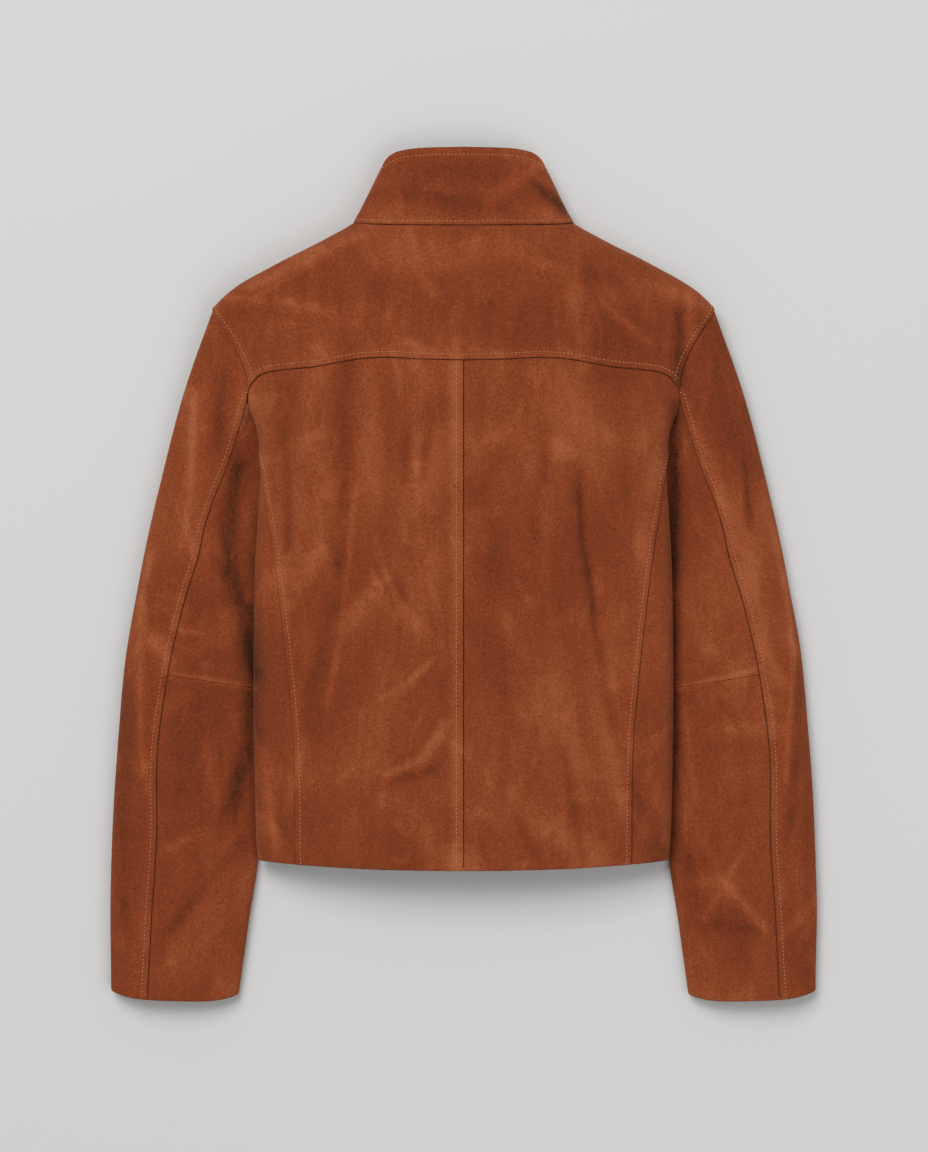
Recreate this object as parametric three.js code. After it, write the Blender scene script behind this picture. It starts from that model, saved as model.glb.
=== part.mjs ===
// A cropped suede jacket with a stand collar, laid face down with its back up.
// Millimetres, +Z up, +Y towards the collar, +X to the right seen from above. The floor is z = 0.
// The body is a low dome over flat fronts, the sleeves are flattened tubes that tuck under its sides.
// Every piece is a wall of cloth: a grid of points on the garment's surface, and the same grid moved inwards.

import * as THREE from 'three';

// Driving sizes
const WALL = 1.6;
const COLLAR_WALL = 3.0;
const SEAM_GAP = 0.3;
const HEM_MIDDLE = -256.5;
const HEM_RISE = 7.5;
const HEM_HALF = 179;
const FRONT_OVERLAP = 15;
const FRONT_LIFT = 3.5;
const LIFT_START = 38;
const LIFT_END = 20;
const FRONT_COLUMNS = 4;
const SECTION_ROUNDNESS = 0.85;
const COLLAR_TOP_HALF = 70;
const COLLAR_TOP_CROWN = 24;
const COLLAR_TOP_EDGE = 10;
const COLLAR_TOP_TUCK = 12;
const SHOULDER_TURN = 1.3;
const SIDE_FRONT_HEM_TURN = 2.2;
const SLEEVE_TUCK = 14;
const SLEEVE_ROUNDNESS = 1.1;
const CUFF_BOW = 6.4;
const ARMHOLE_REACH = 0.24;
const ELBOW = 0.5;
const STUD_RADIUS = 6;
const STUD_HEIGHT = 1.3;
const STUD_COUNT = 5;
const STUD_FIRST = -225;
const STUD_LAST = 215;

// How many cells each stretch of a seam is cut into, the same on both sides of the seam
const CELLS = {
  backAcross: 15,
  yokeHalf: 15,
  armholeYoke: 6,
  armholeBack: 6,
  armholeSide: 10,
  armholeFront: 6,
  shoulder: 5,
  collarUp: 5,
  sleeveUp: 10,
};

const table = (columns, rows) => rows.map((row) => Object.fromEntries(columns.map((c, i) => [c, row[i]])));

// Body sections: half width, height of the crown and of the widest point, and reach of the lower round
const BODY = table(['y', 'half', 'crown', 'edge', 'tuck'], [
  [-259, 179, 40, 12, 20],
  [-231, 181, 42, 14, 22],
  [-196, 182, 44, 16, 24],
  [-109, 183, 47, 19, 26],
  [-3, 182, 50, 20, 26],
  [55, 179, 50, 20, 26],
  [92, 177, 50, 20, 26],
  [110, 178, 50, 20, 26],
  [127, 180, 49, 20, 26],
  [143, 186, 49, 19, 25],
  [157, 193, 48, 18, 24],
  [175, 198, 47, 17, 23],
  [194, 204, 46, 16, 22],
  [212, 211, 45, 15, 21],
  [231, 219, 43, 14, 20],
  [238, 214, 43, 14, 19],
  [251, 199, 42, 14, 18],
  [272, 162, 41, 14, 17],
  [293, 121, 39, 14, 16],
  [308, 95, 37, 14, 15],
  [316, 87, 36, 14, 15],
]);

// Sleeve sections from armhole to cuff: the two edges in plan, heights, and where the back seam crosses
const SLEEVE = table(
  ['s', 'outerX', 'outerY', 'innerX', 'innerY', 'crown', 'outerEdge', 'innerEdge', 'seam'],
  [
    [0, 219.3, 230.2, 169.5, 13.5, 32, 14, 4.5, 0.357],
    [0.125, 246.8, 152.4, 175.5, -14.4, 28, 11, 4.5, 0.415],
    [0.25, 266.9, 74.7, 176.5, -43.2, 26, 9, 4.5, 0.42],
    [0.375, 283.9, -3.1, 177, -71.2, 25, 9, 4.5, 0.368],
    [0.5, 297, -80.8, 177, -100, 24, 9, 4.5, 0.327],
    [0.625, 303.1, -152.4, 177.5, -168.2, 22.5, 9, 4.5, 0.287],
    [0.75, 307.5, -224.1, 179, -236.3, 21, 8.5, 4.5, 0.31],
    [0.875, 309.3, -294.8, 188.3, -304.4, 20, 8, 5, 0.305],
    [1, 308.4, -363.9, 197, -367.5, 19, 8, 6, 0.29],
  ],
);

// Seams on the body, as turn round the section (0 centre back, 1 side edge, 2 to 3 underside) and height y
const YOKE_SEAM = table(['turn', 'y'], [
  [0, 185.6],
  [0.12, 186.5],
  [0.21, 187.9],
  [0.28, 187.2],
  [0.35, 184.3],
  [0.44, 180.4],
  [0.56, 178],
  [0.64, 176.5],
  [0.71, 173.2],
  [0.77, 167.3],
  [0.83, 161],
]);
const SIDE_BACK_SEAM = table(['y', 'turn'], [
  [112, 1.4],
  [107, 1.2],
  [100, 1.02],
  [90, 0.93],
  [63, 0.827],
  [32, 0.752],
  [0, 0.7],
  [-43, 0.659],
  [-101, 0.616],
  [-145, 0.597],
  [-188, 0.593],
  [-251, 0.602],
]);
const NECK_SEAM = table(['turn', 'y'], [
  [0, 303.1],
  [0.5, 304.3],
  [1, 307.3],
  [1.3, 305.5],
  [1.87, 300],
  [2.18, 290],
  [2.44, 275],
  [2.71, 260],
  [3, 250],
  [3.2, 249],
]);
const COLLAR_TOP = table(['turn', 'y'], [
  [0, 373],
  [0.35, 372.4],
  [0.6, 370],
  [0.75, 366.5],
  [0.9, 362],
  [1, 359],
  [1.3, 354],
  [2, 343],
  [2.5, 331],
  [3, 321],
  [3.2, 320],
]);

// The armhole seam, once round it: 0 at the shoulder, 1 at the underarm, 2 at the shoulder again
const ARMHOLE = table(['round', 'turn', 'y'], [
  [-0.3, 1.7, 185],
  [-0.22, 1.55, 207],
  [-0.11, 1.3, 226],
  [0, 1, 232],
  [0.163, 0.9, 218],
  [0.264, 0.835, 196.6],
  [0.343, 0.81, 174.7],
  [0.386, 0.83, 161],
  [0.408, 0.87, 154],
  [0.446, 1, 141],
  [0.487, 1.25, 127],
  [0.531, 1.4, 112],
  [0.576, 1.45, 97],
  [0.694, 1.48, 60],
  [0.823, 1.5, 30],
  [1, 1.62, 13.5],
  [1.111, 1.72, 20],
  [1.248, 1.78, 45],
  [1.32, 1.82, 68],
  [1.403, 1.85, 90],
  [1.521, 1.85, 130],
  [1.611, 1.8, 160],
  [1.7, 1.7, 185],
  [1.78, 1.55, 207],
  [1.89, 1.3, 226],
]);
const AT_SHOULDER = -0.11;
const AT_YOKE = 0.386;
const AT_SLEEVE_SEAM = 0.408;
const AT_SIDE_BACK = 0.531;
const AT_SIDE_FRONT = 1.32;
const ONCE_ROUND = 2;

// The largest folds: a straight stretch in plan, how wide it is, and how high, or how deep below zero
const FOLDS = table(['x1', 'y1', 'x2', 'y2', 'width', 'height'], [
  [-85, 92, -96, 18, 18, 1.8],
  [-52, 122, -46, 84, 16, -1.6],
  [-68, 0, -54, -30, 16, -1.8],
  [-60, -96, -24, -64, 18, 1.8],
  [-107, -86, -122, -126, 18, 1.5],
  [-58, -169, -23, -148, 16, -1.5],
  [-152, 102, -152, 56, 16, -1.8],
  [-163, -170, -163, -249, 14, -1.6],
  [100, 90, 104, 31, 18, -2.8],
  [104, 31, 114, -37, 18, -2.8],
  [114, -37, 133, -127, 18, -2.4],
  [89, -158, 110, -248, 18, -1.8],
  [153, -132, 165, -180, 14, -1.4],
  [126, 234, 158, 200, 20, 1.8],
  [188, 224, 185, 168, 12, -3],
  [-187, 223, -185, 170, 12, -2.6],
  [-218, 222, -236, 115, 16, 2.2],
  [-236, 115, -241, 53, 16, 2],
  [-272, 13, -284, -109, 16, 1.8],
  [-284, -109, -278, -215, 16, 1.8],
  [-187, 115, -204, 45, 14, -2.6],
  [-204, 45, -186, -60, 14, -2.6],
  [-205, -254, -258, -315, 18, -2],
  [246, 97, 243, 38, 16, -1.8],
  [285, -27, 288, -100, 16, 1.8],
  [288, -100, 277, -215, 16, 1.8],
  [233, -280, 254, -311, 20, 1.6],
]);

const mix = (a, b, t) => a + (b - a) * t;
const clamp = (t) => Math.min(1, Math.max(0, t));
const smooth = (t) => clamp(t) ** 2 * (3 - 2 * clamp(t));

// A cubic through a table's rows that never overshoots them
function curveOf(rows, input, output) {
  const sorted = [...rows].sort((a, b) => a[input] - b[input]);
  const xs = sorted.map((row) => row[input]);
  const ys = sorted.map((row) => row[output]);
  const steps = xs.slice(1).map((x, i) => (ys[i + 1] - ys[i]) / (x - xs[i]));
  const slopes = xs.map((x, i) => {
    if (i === 0 || i === xs.length - 1) return steps[Math.min(i, steps.length - 1)];
    const before = steps[i - 1];
    const after = steps[i];
    return before * after <= 0 ? 0 : (2 * before * after) / (before + after);
  });
  return (x) => {
    const i = Math.min(Math.max(xs.findIndex((at) => at > x), 1), xs.length - 1) - 1;
    const last = x >= xs[xs.length - 1] ? xs.length - 2 : i;
    const width = xs[last + 1] - xs[last];
    const t = (x - xs[last]) / width;
    if (t < 0) return ys[last] + slopes[last] * (x - xs[last]);
    if (t > 1) return ys[last + 1] + slopes[last + 1] * (x - xs[last + 1]);
    const rise = ys[last + 1] - ys[last];
    const bend = 3 * rise - width * (2 * slopes[last] + slopes[last + 1]);
    const twist = width * (slopes[last] + slopes[last + 1]) - 2 * rise;
    return ys[last] + t * (width * slopes[last] + t * (bend + t * twist));
  };
}

const curvesOf = (rows, input, outputs) =>
  Object.fromEntries(outputs.map((output) => [output, curveOf(rows, input, output)]));

const body = curvesOf(BODY, 'y', ['half', 'crown', 'edge', 'tuck']);
const sleeve = curvesOf(SLEEVE, 's', Object.keys(SLEEVE[0]).slice(1));
const yokeSeamY = curveOf(YOKE_SEAM, 'turn', 'y');
const sideBackTurn = curveOf(SIDE_BACK_SEAM, 'y', 'turn');
const neckY = curveOf(NECK_SEAM, 'turn', 'y');
const collarTopY = curveOf(COLLAR_TOP, 'turn', 'y');
const armhole = curvesOf(ARMHOLE, 'round', ['turn', 'y']);

// Height that the folds add at a place in plan
function foldsAt(x, y) {
  let height = 0;
  for (const fold of FOLDS) {
    const alongX = fold.x2 - fold.x1;
    const alongY = fold.y2 - fold.y1;
    const length = alongX ** 2 + alongY ** 2;
    const t = clamp(((x - fold.x1) * alongX + (y - fold.y1) * alongY) / length);
    const away = Math.hypot(x - fold.x1 - t * alongX, y - fold.y1 - t * alongY);
    height += fold.height * Math.exp(-((away / fold.width) ** 2) * 2);
  }
  return height;
}

// One section shape for body and collar: a crown above, a small round below the side edge, then flat
function sectionAt(turn, half, crown, edge, tuck) {
  const around = Math.abs(turn);
  const quarter = (Math.PI / 2) * (around <= 1 ? around : around - 1);
  if (around <= 1) {
    const up = Math.cos(quarter) ** SECTION_ROUNDNESS;
    return { x: half * Math.sin(quarter), z: edge + (crown - edge) * up, up };
  }
  if (around <= 2) {
    return { x: half - tuck * (1 - Math.cos(quarter)), z: edge * (1 - Math.sin(quarter)), up: 0 };
  }
  return { x: (half - tuck) * (3 - around), z: 0, up: 0 };
}

// The left front rises over the right front where they overlap
function liftAt(turn, x, side) {
  return side < 0 && Math.abs(turn) > 2 ? FRONT_LIFT * smooth((LIFT_START - x) / (LIFT_START - LIFT_END)) : 0;
}

function bodyPoint(turn, y, side) {
  const at = sectionAt(turn, body.half(y), body.crown(y), body.edge(y), body.tuck(y));
  const across = side * (Math.sign(turn) || 1);
  const folds = foldsAt(at.x * across, y) * Math.sqrt(at.up);
  return new THREE.Vector3(at.x * Math.sign(turn), y, at.z + folds + liftAt(turn, at.x, across));
}

function collarPoint(turn, up, side) {
  const base = bodyPoint(turn, neckY(Math.abs(turn)), side);
  const at = sectionAt(turn, COLLAR_TOP_HALF, COLLAR_TOP_CROWN, COLLAR_TOP_EDGE, COLLAR_TOP_TUCK);
  const lift = liftAt(turn, at.x, side * (Math.sign(turn) || 1));
  const top = new THREE.Vector3(at.x * Math.sign(turn), collarTopY(Math.abs(turn)), at.z + lift);
  return base.lerp(top, up);
}

// The flattened tube of the sleeve: round is 0 at the outer edge, 1 at the inner edge, 2 at the outer again
function tubePoint(round, s) {
  const across = (1 - Math.cos(Math.PI * round)) / 2;
  const top = Math.sin(Math.PI * round) >= 0;
  const at = Object.fromEntries(Object.entries(sleeve).map(([name, curve]) => [name, curve(s)]));
  const x = mix(at.outerX, at.innerX, across);
  const bow = CUFF_BOW * smooth((s - 0.7) / 0.3) * (1 - (2 * across - 1) ** 4);
  const y = mix(at.outerY, at.innerY, across) - bow;
  const edge = mix(at.outerEdge, at.innerEdge, across);
  const hump = Math.sqrt(4 * across * (1 - across)) ** SLEEVE_ROUNDNESS;
  if (top) return new THREE.Vector3(x, y, edge + (at.crown - edge) * hump * (1 - 0.25 * across ** 3));
  const width = Math.hypot(at.outerX - at.innerX, at.outerY - at.innerY);
  const inwards = clamp((Math.min(across, 1 - across) * width) / SLEEVE_TUCK);
  return new THREE.Vector3(x, y, edge * (1 - Math.sqrt(1 - (1 - inwards) ** 2)));
}

const once = (round) => round - ONCE_ROUND * Math.floor((round - AT_SHOULDER) / ONCE_ROUND);
const armholePoint = (round) => bodyPoint(armhole.turn(once(round)), armhole.y(once(round)), 0);

// Near the armhole the tube is drawn onto the armhole seam
function sleevePoint(round, s, side) {
  const point = tubePoint(round, s);
  const reach = 1 - smooth(s / ARMHOLE_REACH);
  if (reach > 0) {
    point.add(armholePoint(round).sub(tubePoint(round, 0)).multiplyScalar(reach));
  }
  if (Math.sin(Math.PI * round) > 0) {
    point.z += foldsAt(point.x * side, point.y) * Math.sqrt(Math.sin(Math.PI * round)) * (1 - reach);
  }
  point.z = Math.max(0, point.z);
  return point;
}

// A grid of points in the surface's own two measures, filled in between its four edges. The bends of the
// start and end edges fade out towards the far side, sooner with a higher fade.
function fillBetween({ low, high, start, end, fade = 1 }) {
  const columns = low.length - 1;
  const rows = start.length - 1;
  return start.map((_, j) =>
    low.map((__, i) => {
      const s = i / columns;
      const t = j / rows;
      return [0, 1].map((k) => {
        const startBend = start[j][k] - mix(low[0][k], high[0][k], t);
        const endBend = end[j][k] - mix(low[columns][k], high[columns][k], t);
        return mix(low[i][k], high[i][k], t) + startBend * (1 - s) ** fade + endBend * s ** fade;
      });
    }),
  );
}

function normalAt(surface, p, q) {
  const step = 1e-3;
  const across = surface(p + step, q).sub(surface(p - step, q));
  const along = surface(p, q + step).sub(surface(p, q - step));
  return across.cross(along).normalize();
}

// Moves the points of a grid's rim inwards by half of the seam gap
function parted(points) {
  const rows = points.length - 1;
  const columns = points[0].length - 1;
  return points.map((row, j) =>
    row.map((point, i) => {
      const moved = point.clone();
      const inward = (inner, before, after) => {
        const along = after.clone().sub(before).normalize();
        const into = inner.clone().sub(point);
        into.addScaledVector(along, -into.dot(along)).normalize();
        moved.addScaledVector(into, SEAM_GAP / 2 + 0.02);
      };
      const beside = (k, last) => [Math.max(0, k - 1), Math.min(last, k + 1)];
      const [up, down] = beside(j, rows);
      const [left, right] = beside(i, columns);
      if (i === 0) inward(row[1], points[up][i], points[down][i]);
      if (i === columns) inward(row[columns - 1], points[up][i], points[down][i]);
      if (j === 0) inward(points[1][i], row[left], row[right]);
      if (j === rows) inward(points[rows - 1][i], row[left], row[right]);
      return moved;
    }),
  );
}

// A wall of cloth: the outer grid, the inner grid and the rim between them, closed
function clothPiece({ surface, grid, side, wall = WALL }) {
  const outer = grid.map((row) => row.map(([p, q]) => surface(p, q, side)));
  const facing = (p, q) => normalAt((a, b) => surface(a, b, side), p, q);
  const inner = outer.map((row, j) =>
    row.map((point, i) => point.clone().addScaledVector(facing(...grid[j][i]), -wall)),
  );
  const rows = grid.length;
  const columns = grid[0].length;
  const skins = [parted(outer), parted(inner)];
  const positions = skins.flat(2).flatMap((point) => [point.x * side, point.y, point.z]);
  const indices = [];
  const quad = (a, b, c, d) => indices.push(...(side > 0 ? [a, b, c, a, c, d] : [a, c, b, a, d, c]));
  const at = (skin, j, i) => skin * rows * columns + j * columns + i;
  for (let j = 0; j < rows - 1; j += 1) {
    for (let i = 0; i < columns - 1; i += 1) {
      quad(at(0, j, i), at(0, j, i + 1), at(0, j + 1, i + 1), at(0, j + 1, i));
      quad(at(1, j + 1, i), at(1, j + 1, i + 1), at(1, j, i + 1), at(1, j, i));
    }
    quad(at(0, j, 0), at(0, j + 1, 0), at(1, j + 1, 0), at(1, j, 0));
    quad(at(1, j, columns - 1), at(1, j + 1, columns - 1), at(0, j + 1, columns - 1), at(0, j, columns - 1));
  }
  for (let i = 0; i < columns - 1; i += 1) {
    quad(at(1, 0, i), at(1, 0, i + 1), at(0, 0, i + 1), at(0, 0, i));
    quad(at(0, rows - 1, i), at(0, rows - 1, i + 1), at(1, rows - 1, i + 1), at(1, rows - 1, i));
  }
  const geometry = new THREE.BufferGeometry();
  geometry.setAttribute('position', new THREE.Float32BufferAttribute(positions, 3));
  geometry.setIndex(indices);
  geometry.computeVertexNormals();
  return geometry;
}

const between = (from, to, cells) => Array.from({ length: cells + 1 }, (_, i) => mix(from, to, i / cells));
const joined = (...stretches) => stretches.flatMap((list, i) => (i ? list.slice(1) : list));
const onArmhole = (from, to, cells) =>
  between(from, to, cells).map((round) => [armhole.turn(once(round)), armhole.y(once(round))]);
const hemY = (turn, half = body.half(HEM_MIDDLE)) => {
  const { x } = sectionAt(turn, half, 1, 1, body.tuck(HEM_MIDDLE));
  return HEM_MIDDLE + HEM_RISE * Math.abs(x / HEM_HALF) ** 2.2;
};
const onHem = (from, to, cells) => between(from, to, cells).map((turn) => [turn, hemY(turn)]);

// Heights at which the side-back seam is cut, closer together where it turns under the arm
const SIDE_HEIGHTS = [...between(hemY(0.602), 80, 13), 90, 97, 103, 108, 112];
const sideBackSeam = SIDE_HEIGHTS.map((y) => [sideBackTurn(y), y]);
const sideFrontTop = armhole.y(AT_SIDE_FRONT);
const sideFrontSeam = between(0, 1, SIDE_HEIGHTS.length - 1).map((t) => [
  mix(SIDE_FRONT_HEM_TURN, armhole.turn(AT_SIDE_FRONT), t),
  mix(hemY(SIDE_FRONT_HEM_TURN), sideFrontTop, t),
]);
const shoulderSeam = between(armhole.y(AT_SHOULDER), neckY(SHOULDER_TURN), CELLS.shoulder).map((y) => [
  SHOULDER_TURN,
  y,
]);

// Back panel, from the centre-back seam to the side-back seam and the armhole
function backEdges() {
  const backArmhole = joined(
    onArmhole(AT_SIDE_BACK, AT_SLEEVE_SEAM, CELLS.armholeBack),
    onArmhole(AT_SLEEVE_SEAM, AT_YOKE, 1),
  );
  const end = joined(sideBackSeam, backArmhole);
  const yokeEnd = YOKE_SEAM[YOKE_SEAM.length - 1];
  const last = end.length - 1;
  const start = end.map(([, y], j) => {
    const even = j / last;
    const level = (y - end[0][1]) / (yokeEnd.y - end[0][1]);
    return [0, mix(hemY(0), yokeSeamY(0), (even + level) / 2)];
  });
  const high = between(0, yokeEnd.turn, CELLS.backAcross).map((turn) => [turn, yokeSeamY(turn)]);
  return { low: onHem(0, end[0][0], CELLS.backAcross), high, start, end, fade: 1.2 };
}

// Side panel, from the side-back seam round under the edge to the side-front seam
function sideEdges() {
  return {
    low: onHem(sideBackSeam[0][0], SIDE_FRONT_HEM_TURN, CELLS.armholeSide),
    high: onArmhole(AT_SIDE_BACK, AT_SIDE_FRONT, CELLS.armholeSide),
    start: sideBackSeam,
    end: sideFrontSeam,
  };
}

// Turns of a front's columns: even ones up to the overlap, then both sides of its rise, then its edge
function frontTurns(first, y) {
  const flat = body.half(y) - body.tuck(y);
  const turnAt = (x) => 3 - x / flat;
  return [...between(first, turnAt(LIFT_START), FRONT_COLUMNS), turnAt(LIFT_END), turnAt(-FRONT_OVERLAP)];
}

// Front panel on the underside, from the side-front seam, armhole and shoulder seam to its front edge
function frontGrid() {
  const start = joined(
    sideFrontSeam,
    onArmhole(AT_SIDE_FRONT, AT_SHOULDER + ONCE_ROUND, CELLS.armholeFront),
    shoulderSeam,
  );
  return start.map(([first, startY], j) => {
    const t = j / (start.length - 1);
    const level = mix(HEM_MIDDLE, neckY(3), t);
    const turns = frontTurns(first, level);
    return turns.map((turn) => {
      const s = (turn - first) / (turns[turns.length - 1] - first);
      const hemTurn = mix(SIDE_FRONT_HEM_TURN, 3, s);
      const neckTurn = j === start.length - 1 ? turn : mix(SHOULDER_TURN, 3, s);
      const straight = mix(mix(hemY(SIDE_FRONT_HEM_TURN), hemY(3), s), mix(neckY(SHOULDER_TURN), neckY(3), s), t);
      return [turn, mix(hemY(hemTurn), neckY(neckTurn), t) + mix(startY, level, s) - straight];
    });
  });
}

// Back yoke in one piece from shoulder to shoulder
function yokeEdges() {
  const end = joined(onArmhole(AT_YOKE, AT_SHOULDER, CELLS.armholeYoke), shoulderSeam);
  const start = end.map(([turn, y]) => [-turn, y]);
  const seamEnd = YOKE_SEAM[YOKE_SEAM.length - 1].turn;
  const low = between(-seamEnd, seamEnd, 2 * CELLS.yokeHalf).map((turn) => [turn, yokeSeamY(Math.abs(turn))]);
  const high = between(-SHOULDER_TURN, SHOULDER_TURN, 2 * CELLS.yokeHalf).map((turn) => [
    turn,
    neckY(Math.abs(turn)),
  ]);
  return { low, high, start, end, fade: 4 };
}

// Stand collar, one band whose two ends overlap at the centre front
function collarEdges() {
  const front = frontTurns(SHOULDER_TURN, neckY(3));
  const frontEnd = front[front.length - 1];
  const turns = joined(
    front.map((turn) => -turn).reverse(),
    between(-SHOULDER_TURN, SHOULDER_TURN, 2 * CELLS.yokeHalf),
    front,
  );
  return {
    low: turns.map((turn) => [turn, 0]),
    high: turns.map((turn) => [turn, 1]),
    start: between(0, 1, CELLS.collarUp).map((up) => [-frontEnd, up]),
    end: between(0, 1, CELLS.collarUp).map((up) => [frontEnd, up]),
  };
}

const backSeamRound = (s) => (s === 0 ? AT_SLEEVE_SEAM : Math.acos(1 - 2 * sleeve.seam(s)) / Math.PI);

// A sleeve piece: its columns start at places round the armhole and run down between its two seams
function sleeveEdges(rounds, fromSeam, toSeam, from, to, cells) {
  const first = rounds[0];
  const span = rounds[rounds.length - 1] - first;
  const rowAt = (s) => rounds.map((round) => [mix(fromSeam(s), toSeam(s), (round - first) / span), s]);
  const levels = between(from, to, cells);
  return {
    low: rowAt(from),
    high: rowAt(to),
    start: levels.map((s) => [fromSeam(s), s]),
    end: levels.map((s) => [toSeam(s), s]),
  };
}

// The upper sleeve is one cut piece, drawn as two nodes that meet low down along the sleeve's outer edge
function upperSleeveFrontEdges() {
  const rounds = between(AT_SIDE_FRONT - ONCE_ROUND, AT_SHOULDER, CELLS.armholeFront);
  return sleeveEdges(rounds, () => rounds[0], () => AT_SHOULDER, 0, 1, 2 * CELLS.sleeveUp);
}

function upperSleeveBackEdges() {
  const rounds = joined(between(AT_SHOULDER, AT_YOKE, CELLS.armholeYoke), between(AT_YOKE, AT_SLEEVE_SEAM, 1));
  return sleeveEdges(rounds, () => AT_SHOULDER, backSeamRound, 0, 1, 2 * CELLS.sleeveUp);
}

function underSleeveEdges(from, to) {
  const rounds = joined(
    between(AT_SLEEVE_SEAM, AT_SIDE_BACK, CELLS.armholeBack),
    between(AT_SIDE_BACK, AT_SIDE_FRONT, CELLS.armholeSide),
  );
  return sleeveEdges(rounds, backSeamRound, () => AT_SIDE_FRONT, from, to, CELLS.sleeveUp);
}

const suede = () => new THREE.MeshStandardMaterial({ color: 0x8e4424, roughness: 0.95, metalness: 0 });
const metal = () => new THREE.MeshStandardMaterial({ color: 0x8a7a60, roughness: 0.4, metalness: 0.9 });

const jacket = new THREE.Group();

function addCloth(name, shape) {
  const mesh = new THREE.Mesh(clothPiece(shape), suede());
  mesh.name = name;
  jacket.add(mesh);
}

addCloth('collar', { surface: collarPoint, grid: fillBetween(collarEdges()), side: 1, wall: COLLAR_WALL });
addCloth('yoke', { surface: bodyPoint, grid: fillBetween(yokeEdges()), side: 1 });
for (const [hand, side] of [['left', -1], ['right', 1]]) {
  addCloth(`back_${hand}`, { surface: bodyPoint, grid: fillBetween(backEdges()), side });
  addCloth(`side_${hand}`, { surface: bodyPoint, grid: fillBetween(sideEdges()), side });
  addCloth(`front_${hand}`, { surface: bodyPoint, grid: frontGrid(), side });
  addCloth(`upper_sleeve_front_${hand}`, { surface: sleevePoint, grid: fillBetween(upperSleeveFrontEdges()), side });
  addCloth(`upper_sleeve_back_${hand}`, { surface: sleevePoint, grid: fillBetween(upperSleeveBackEdges()), side });
  addCloth(`under_sleeve_top_${hand}`, { surface: sleevePoint, grid: fillBetween(underSleeveEdges(0, ELBOW)), side });
  addCloth(`under_sleeve_low_${hand}`, { surface: sleevePoint, grid: fillBetween(underSleeveEdges(ELBOW, 1)), side });
}

// Concealed press studs between the two layers of the front overlap
const studBottom = (FRONT_LIFT + WALL - STUD_HEIGHT) / 2;
between(STUD_FIRST, STUD_LAST, STUD_COUNT - 1).forEach((y, i) => {
  const stud = new THREE.Mesh(new THREE.CylinderGeometry(STUD_RADIUS, STUD_RADIUS, STUD_HEIGHT, 16), metal());
  stud.name = `stud_${i + 1}`;
  stud.rotation.x = Math.PI / 2;
  stud.position.set(0, y, studBottom + STUD_HEIGHT / 2);
  jacket.add(stud);
});

export default jacket;
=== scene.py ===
"""Looks of a cropped suede jacket that lies face down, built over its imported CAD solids.

Lengths are millimetres until a mesh is made, +Z up, +Y towards the collar, +X to the right from above.
"""

import logging
import math
from dataclasses import dataclass
from enum import Enum
from typing import NamedTuple, Sequence

import bpy
import numpy as np
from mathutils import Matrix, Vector, kdtree, noise


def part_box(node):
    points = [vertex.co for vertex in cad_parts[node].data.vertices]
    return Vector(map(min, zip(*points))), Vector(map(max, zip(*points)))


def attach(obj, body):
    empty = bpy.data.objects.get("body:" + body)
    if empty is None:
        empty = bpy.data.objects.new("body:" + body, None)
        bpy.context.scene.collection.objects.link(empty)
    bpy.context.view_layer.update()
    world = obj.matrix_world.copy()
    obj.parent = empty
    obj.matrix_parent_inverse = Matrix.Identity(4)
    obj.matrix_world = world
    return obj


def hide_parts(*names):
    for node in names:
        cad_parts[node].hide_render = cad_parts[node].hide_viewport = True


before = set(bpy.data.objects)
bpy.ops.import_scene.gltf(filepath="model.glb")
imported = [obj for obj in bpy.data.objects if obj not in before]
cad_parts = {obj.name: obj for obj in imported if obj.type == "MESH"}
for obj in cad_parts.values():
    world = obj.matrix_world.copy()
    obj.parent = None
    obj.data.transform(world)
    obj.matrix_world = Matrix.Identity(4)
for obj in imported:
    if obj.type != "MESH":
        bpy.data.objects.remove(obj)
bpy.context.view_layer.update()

log = logging.getLogger("jacket")

MM = 0.001
Array = np.ndarray
Colour = tuple[float, float, float]
Piece = bpy.types.Object
Material = bpy.types.Material
Socket = bpy.types.NodeSocket
HANDS = {"left": -1, "right": 1}


# Tables: a row for each section, seam point or stroke


class BodyRow(NamedTuple):
    """A section of the body: half width, height of the crown and widest point, reach of the lower round."""

    y: float
    half: float
    crown: float
    edge: float
    tuck: float


class SleeveRow(NamedTuple):
    """A section of the sleeve: its outer and inner edge in plan, and where the back seam crosses it."""

    s: float
    outer_x: float
    outer_y: float
    inner_x: float
    inner_y: float
    crown: float
    outer_edge: float
    inner_edge: float
    seam: float


class SeamRow(NamedTuple):
    """A point of a seam: turn round the section (0 back, 1 side edge, 2 to 3 underside) and height y."""

    turn: float
    y: float


class ArmholeRow(NamedTuple):
    """A point of the armhole seam, once round it: 0 at the shoulder, 1 at the underarm."""

    round: float
    turn: float
    y: float


class Stroke(NamedTuple):
    """A soft stroke in plan: its ends, width and strength; below zero a fold stroke is a trough and a tone
    stroke is darker, as nap and as painted shade.
    """

    x1: float
    y1: float
    x2: float
    y2: float
    width: float
    strength: float


class Wave(NamedTuple):
    """A layer of the cloth's soft unevenness: its height, its pitch along each axis, its noise's start."""

    height: float
    pitch: tuple[float, float, float]
    start: float


class Grain(NamedTuple):
    """A noise of a finish: its scale, detail, roughness, twist, and its share in the tone."""

    scale: float
    detail: float = 2.0
    roughness: float = 0.5
    twist: float = 0.0
    share: float = 1.0


class Lamp(NamedTuple):
    """A square soft light: its name, where it hangs, its side in millimetres and its power in watts."""

    name: str
    place: tuple[float, float, float]
    size: float
    power: float


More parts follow.
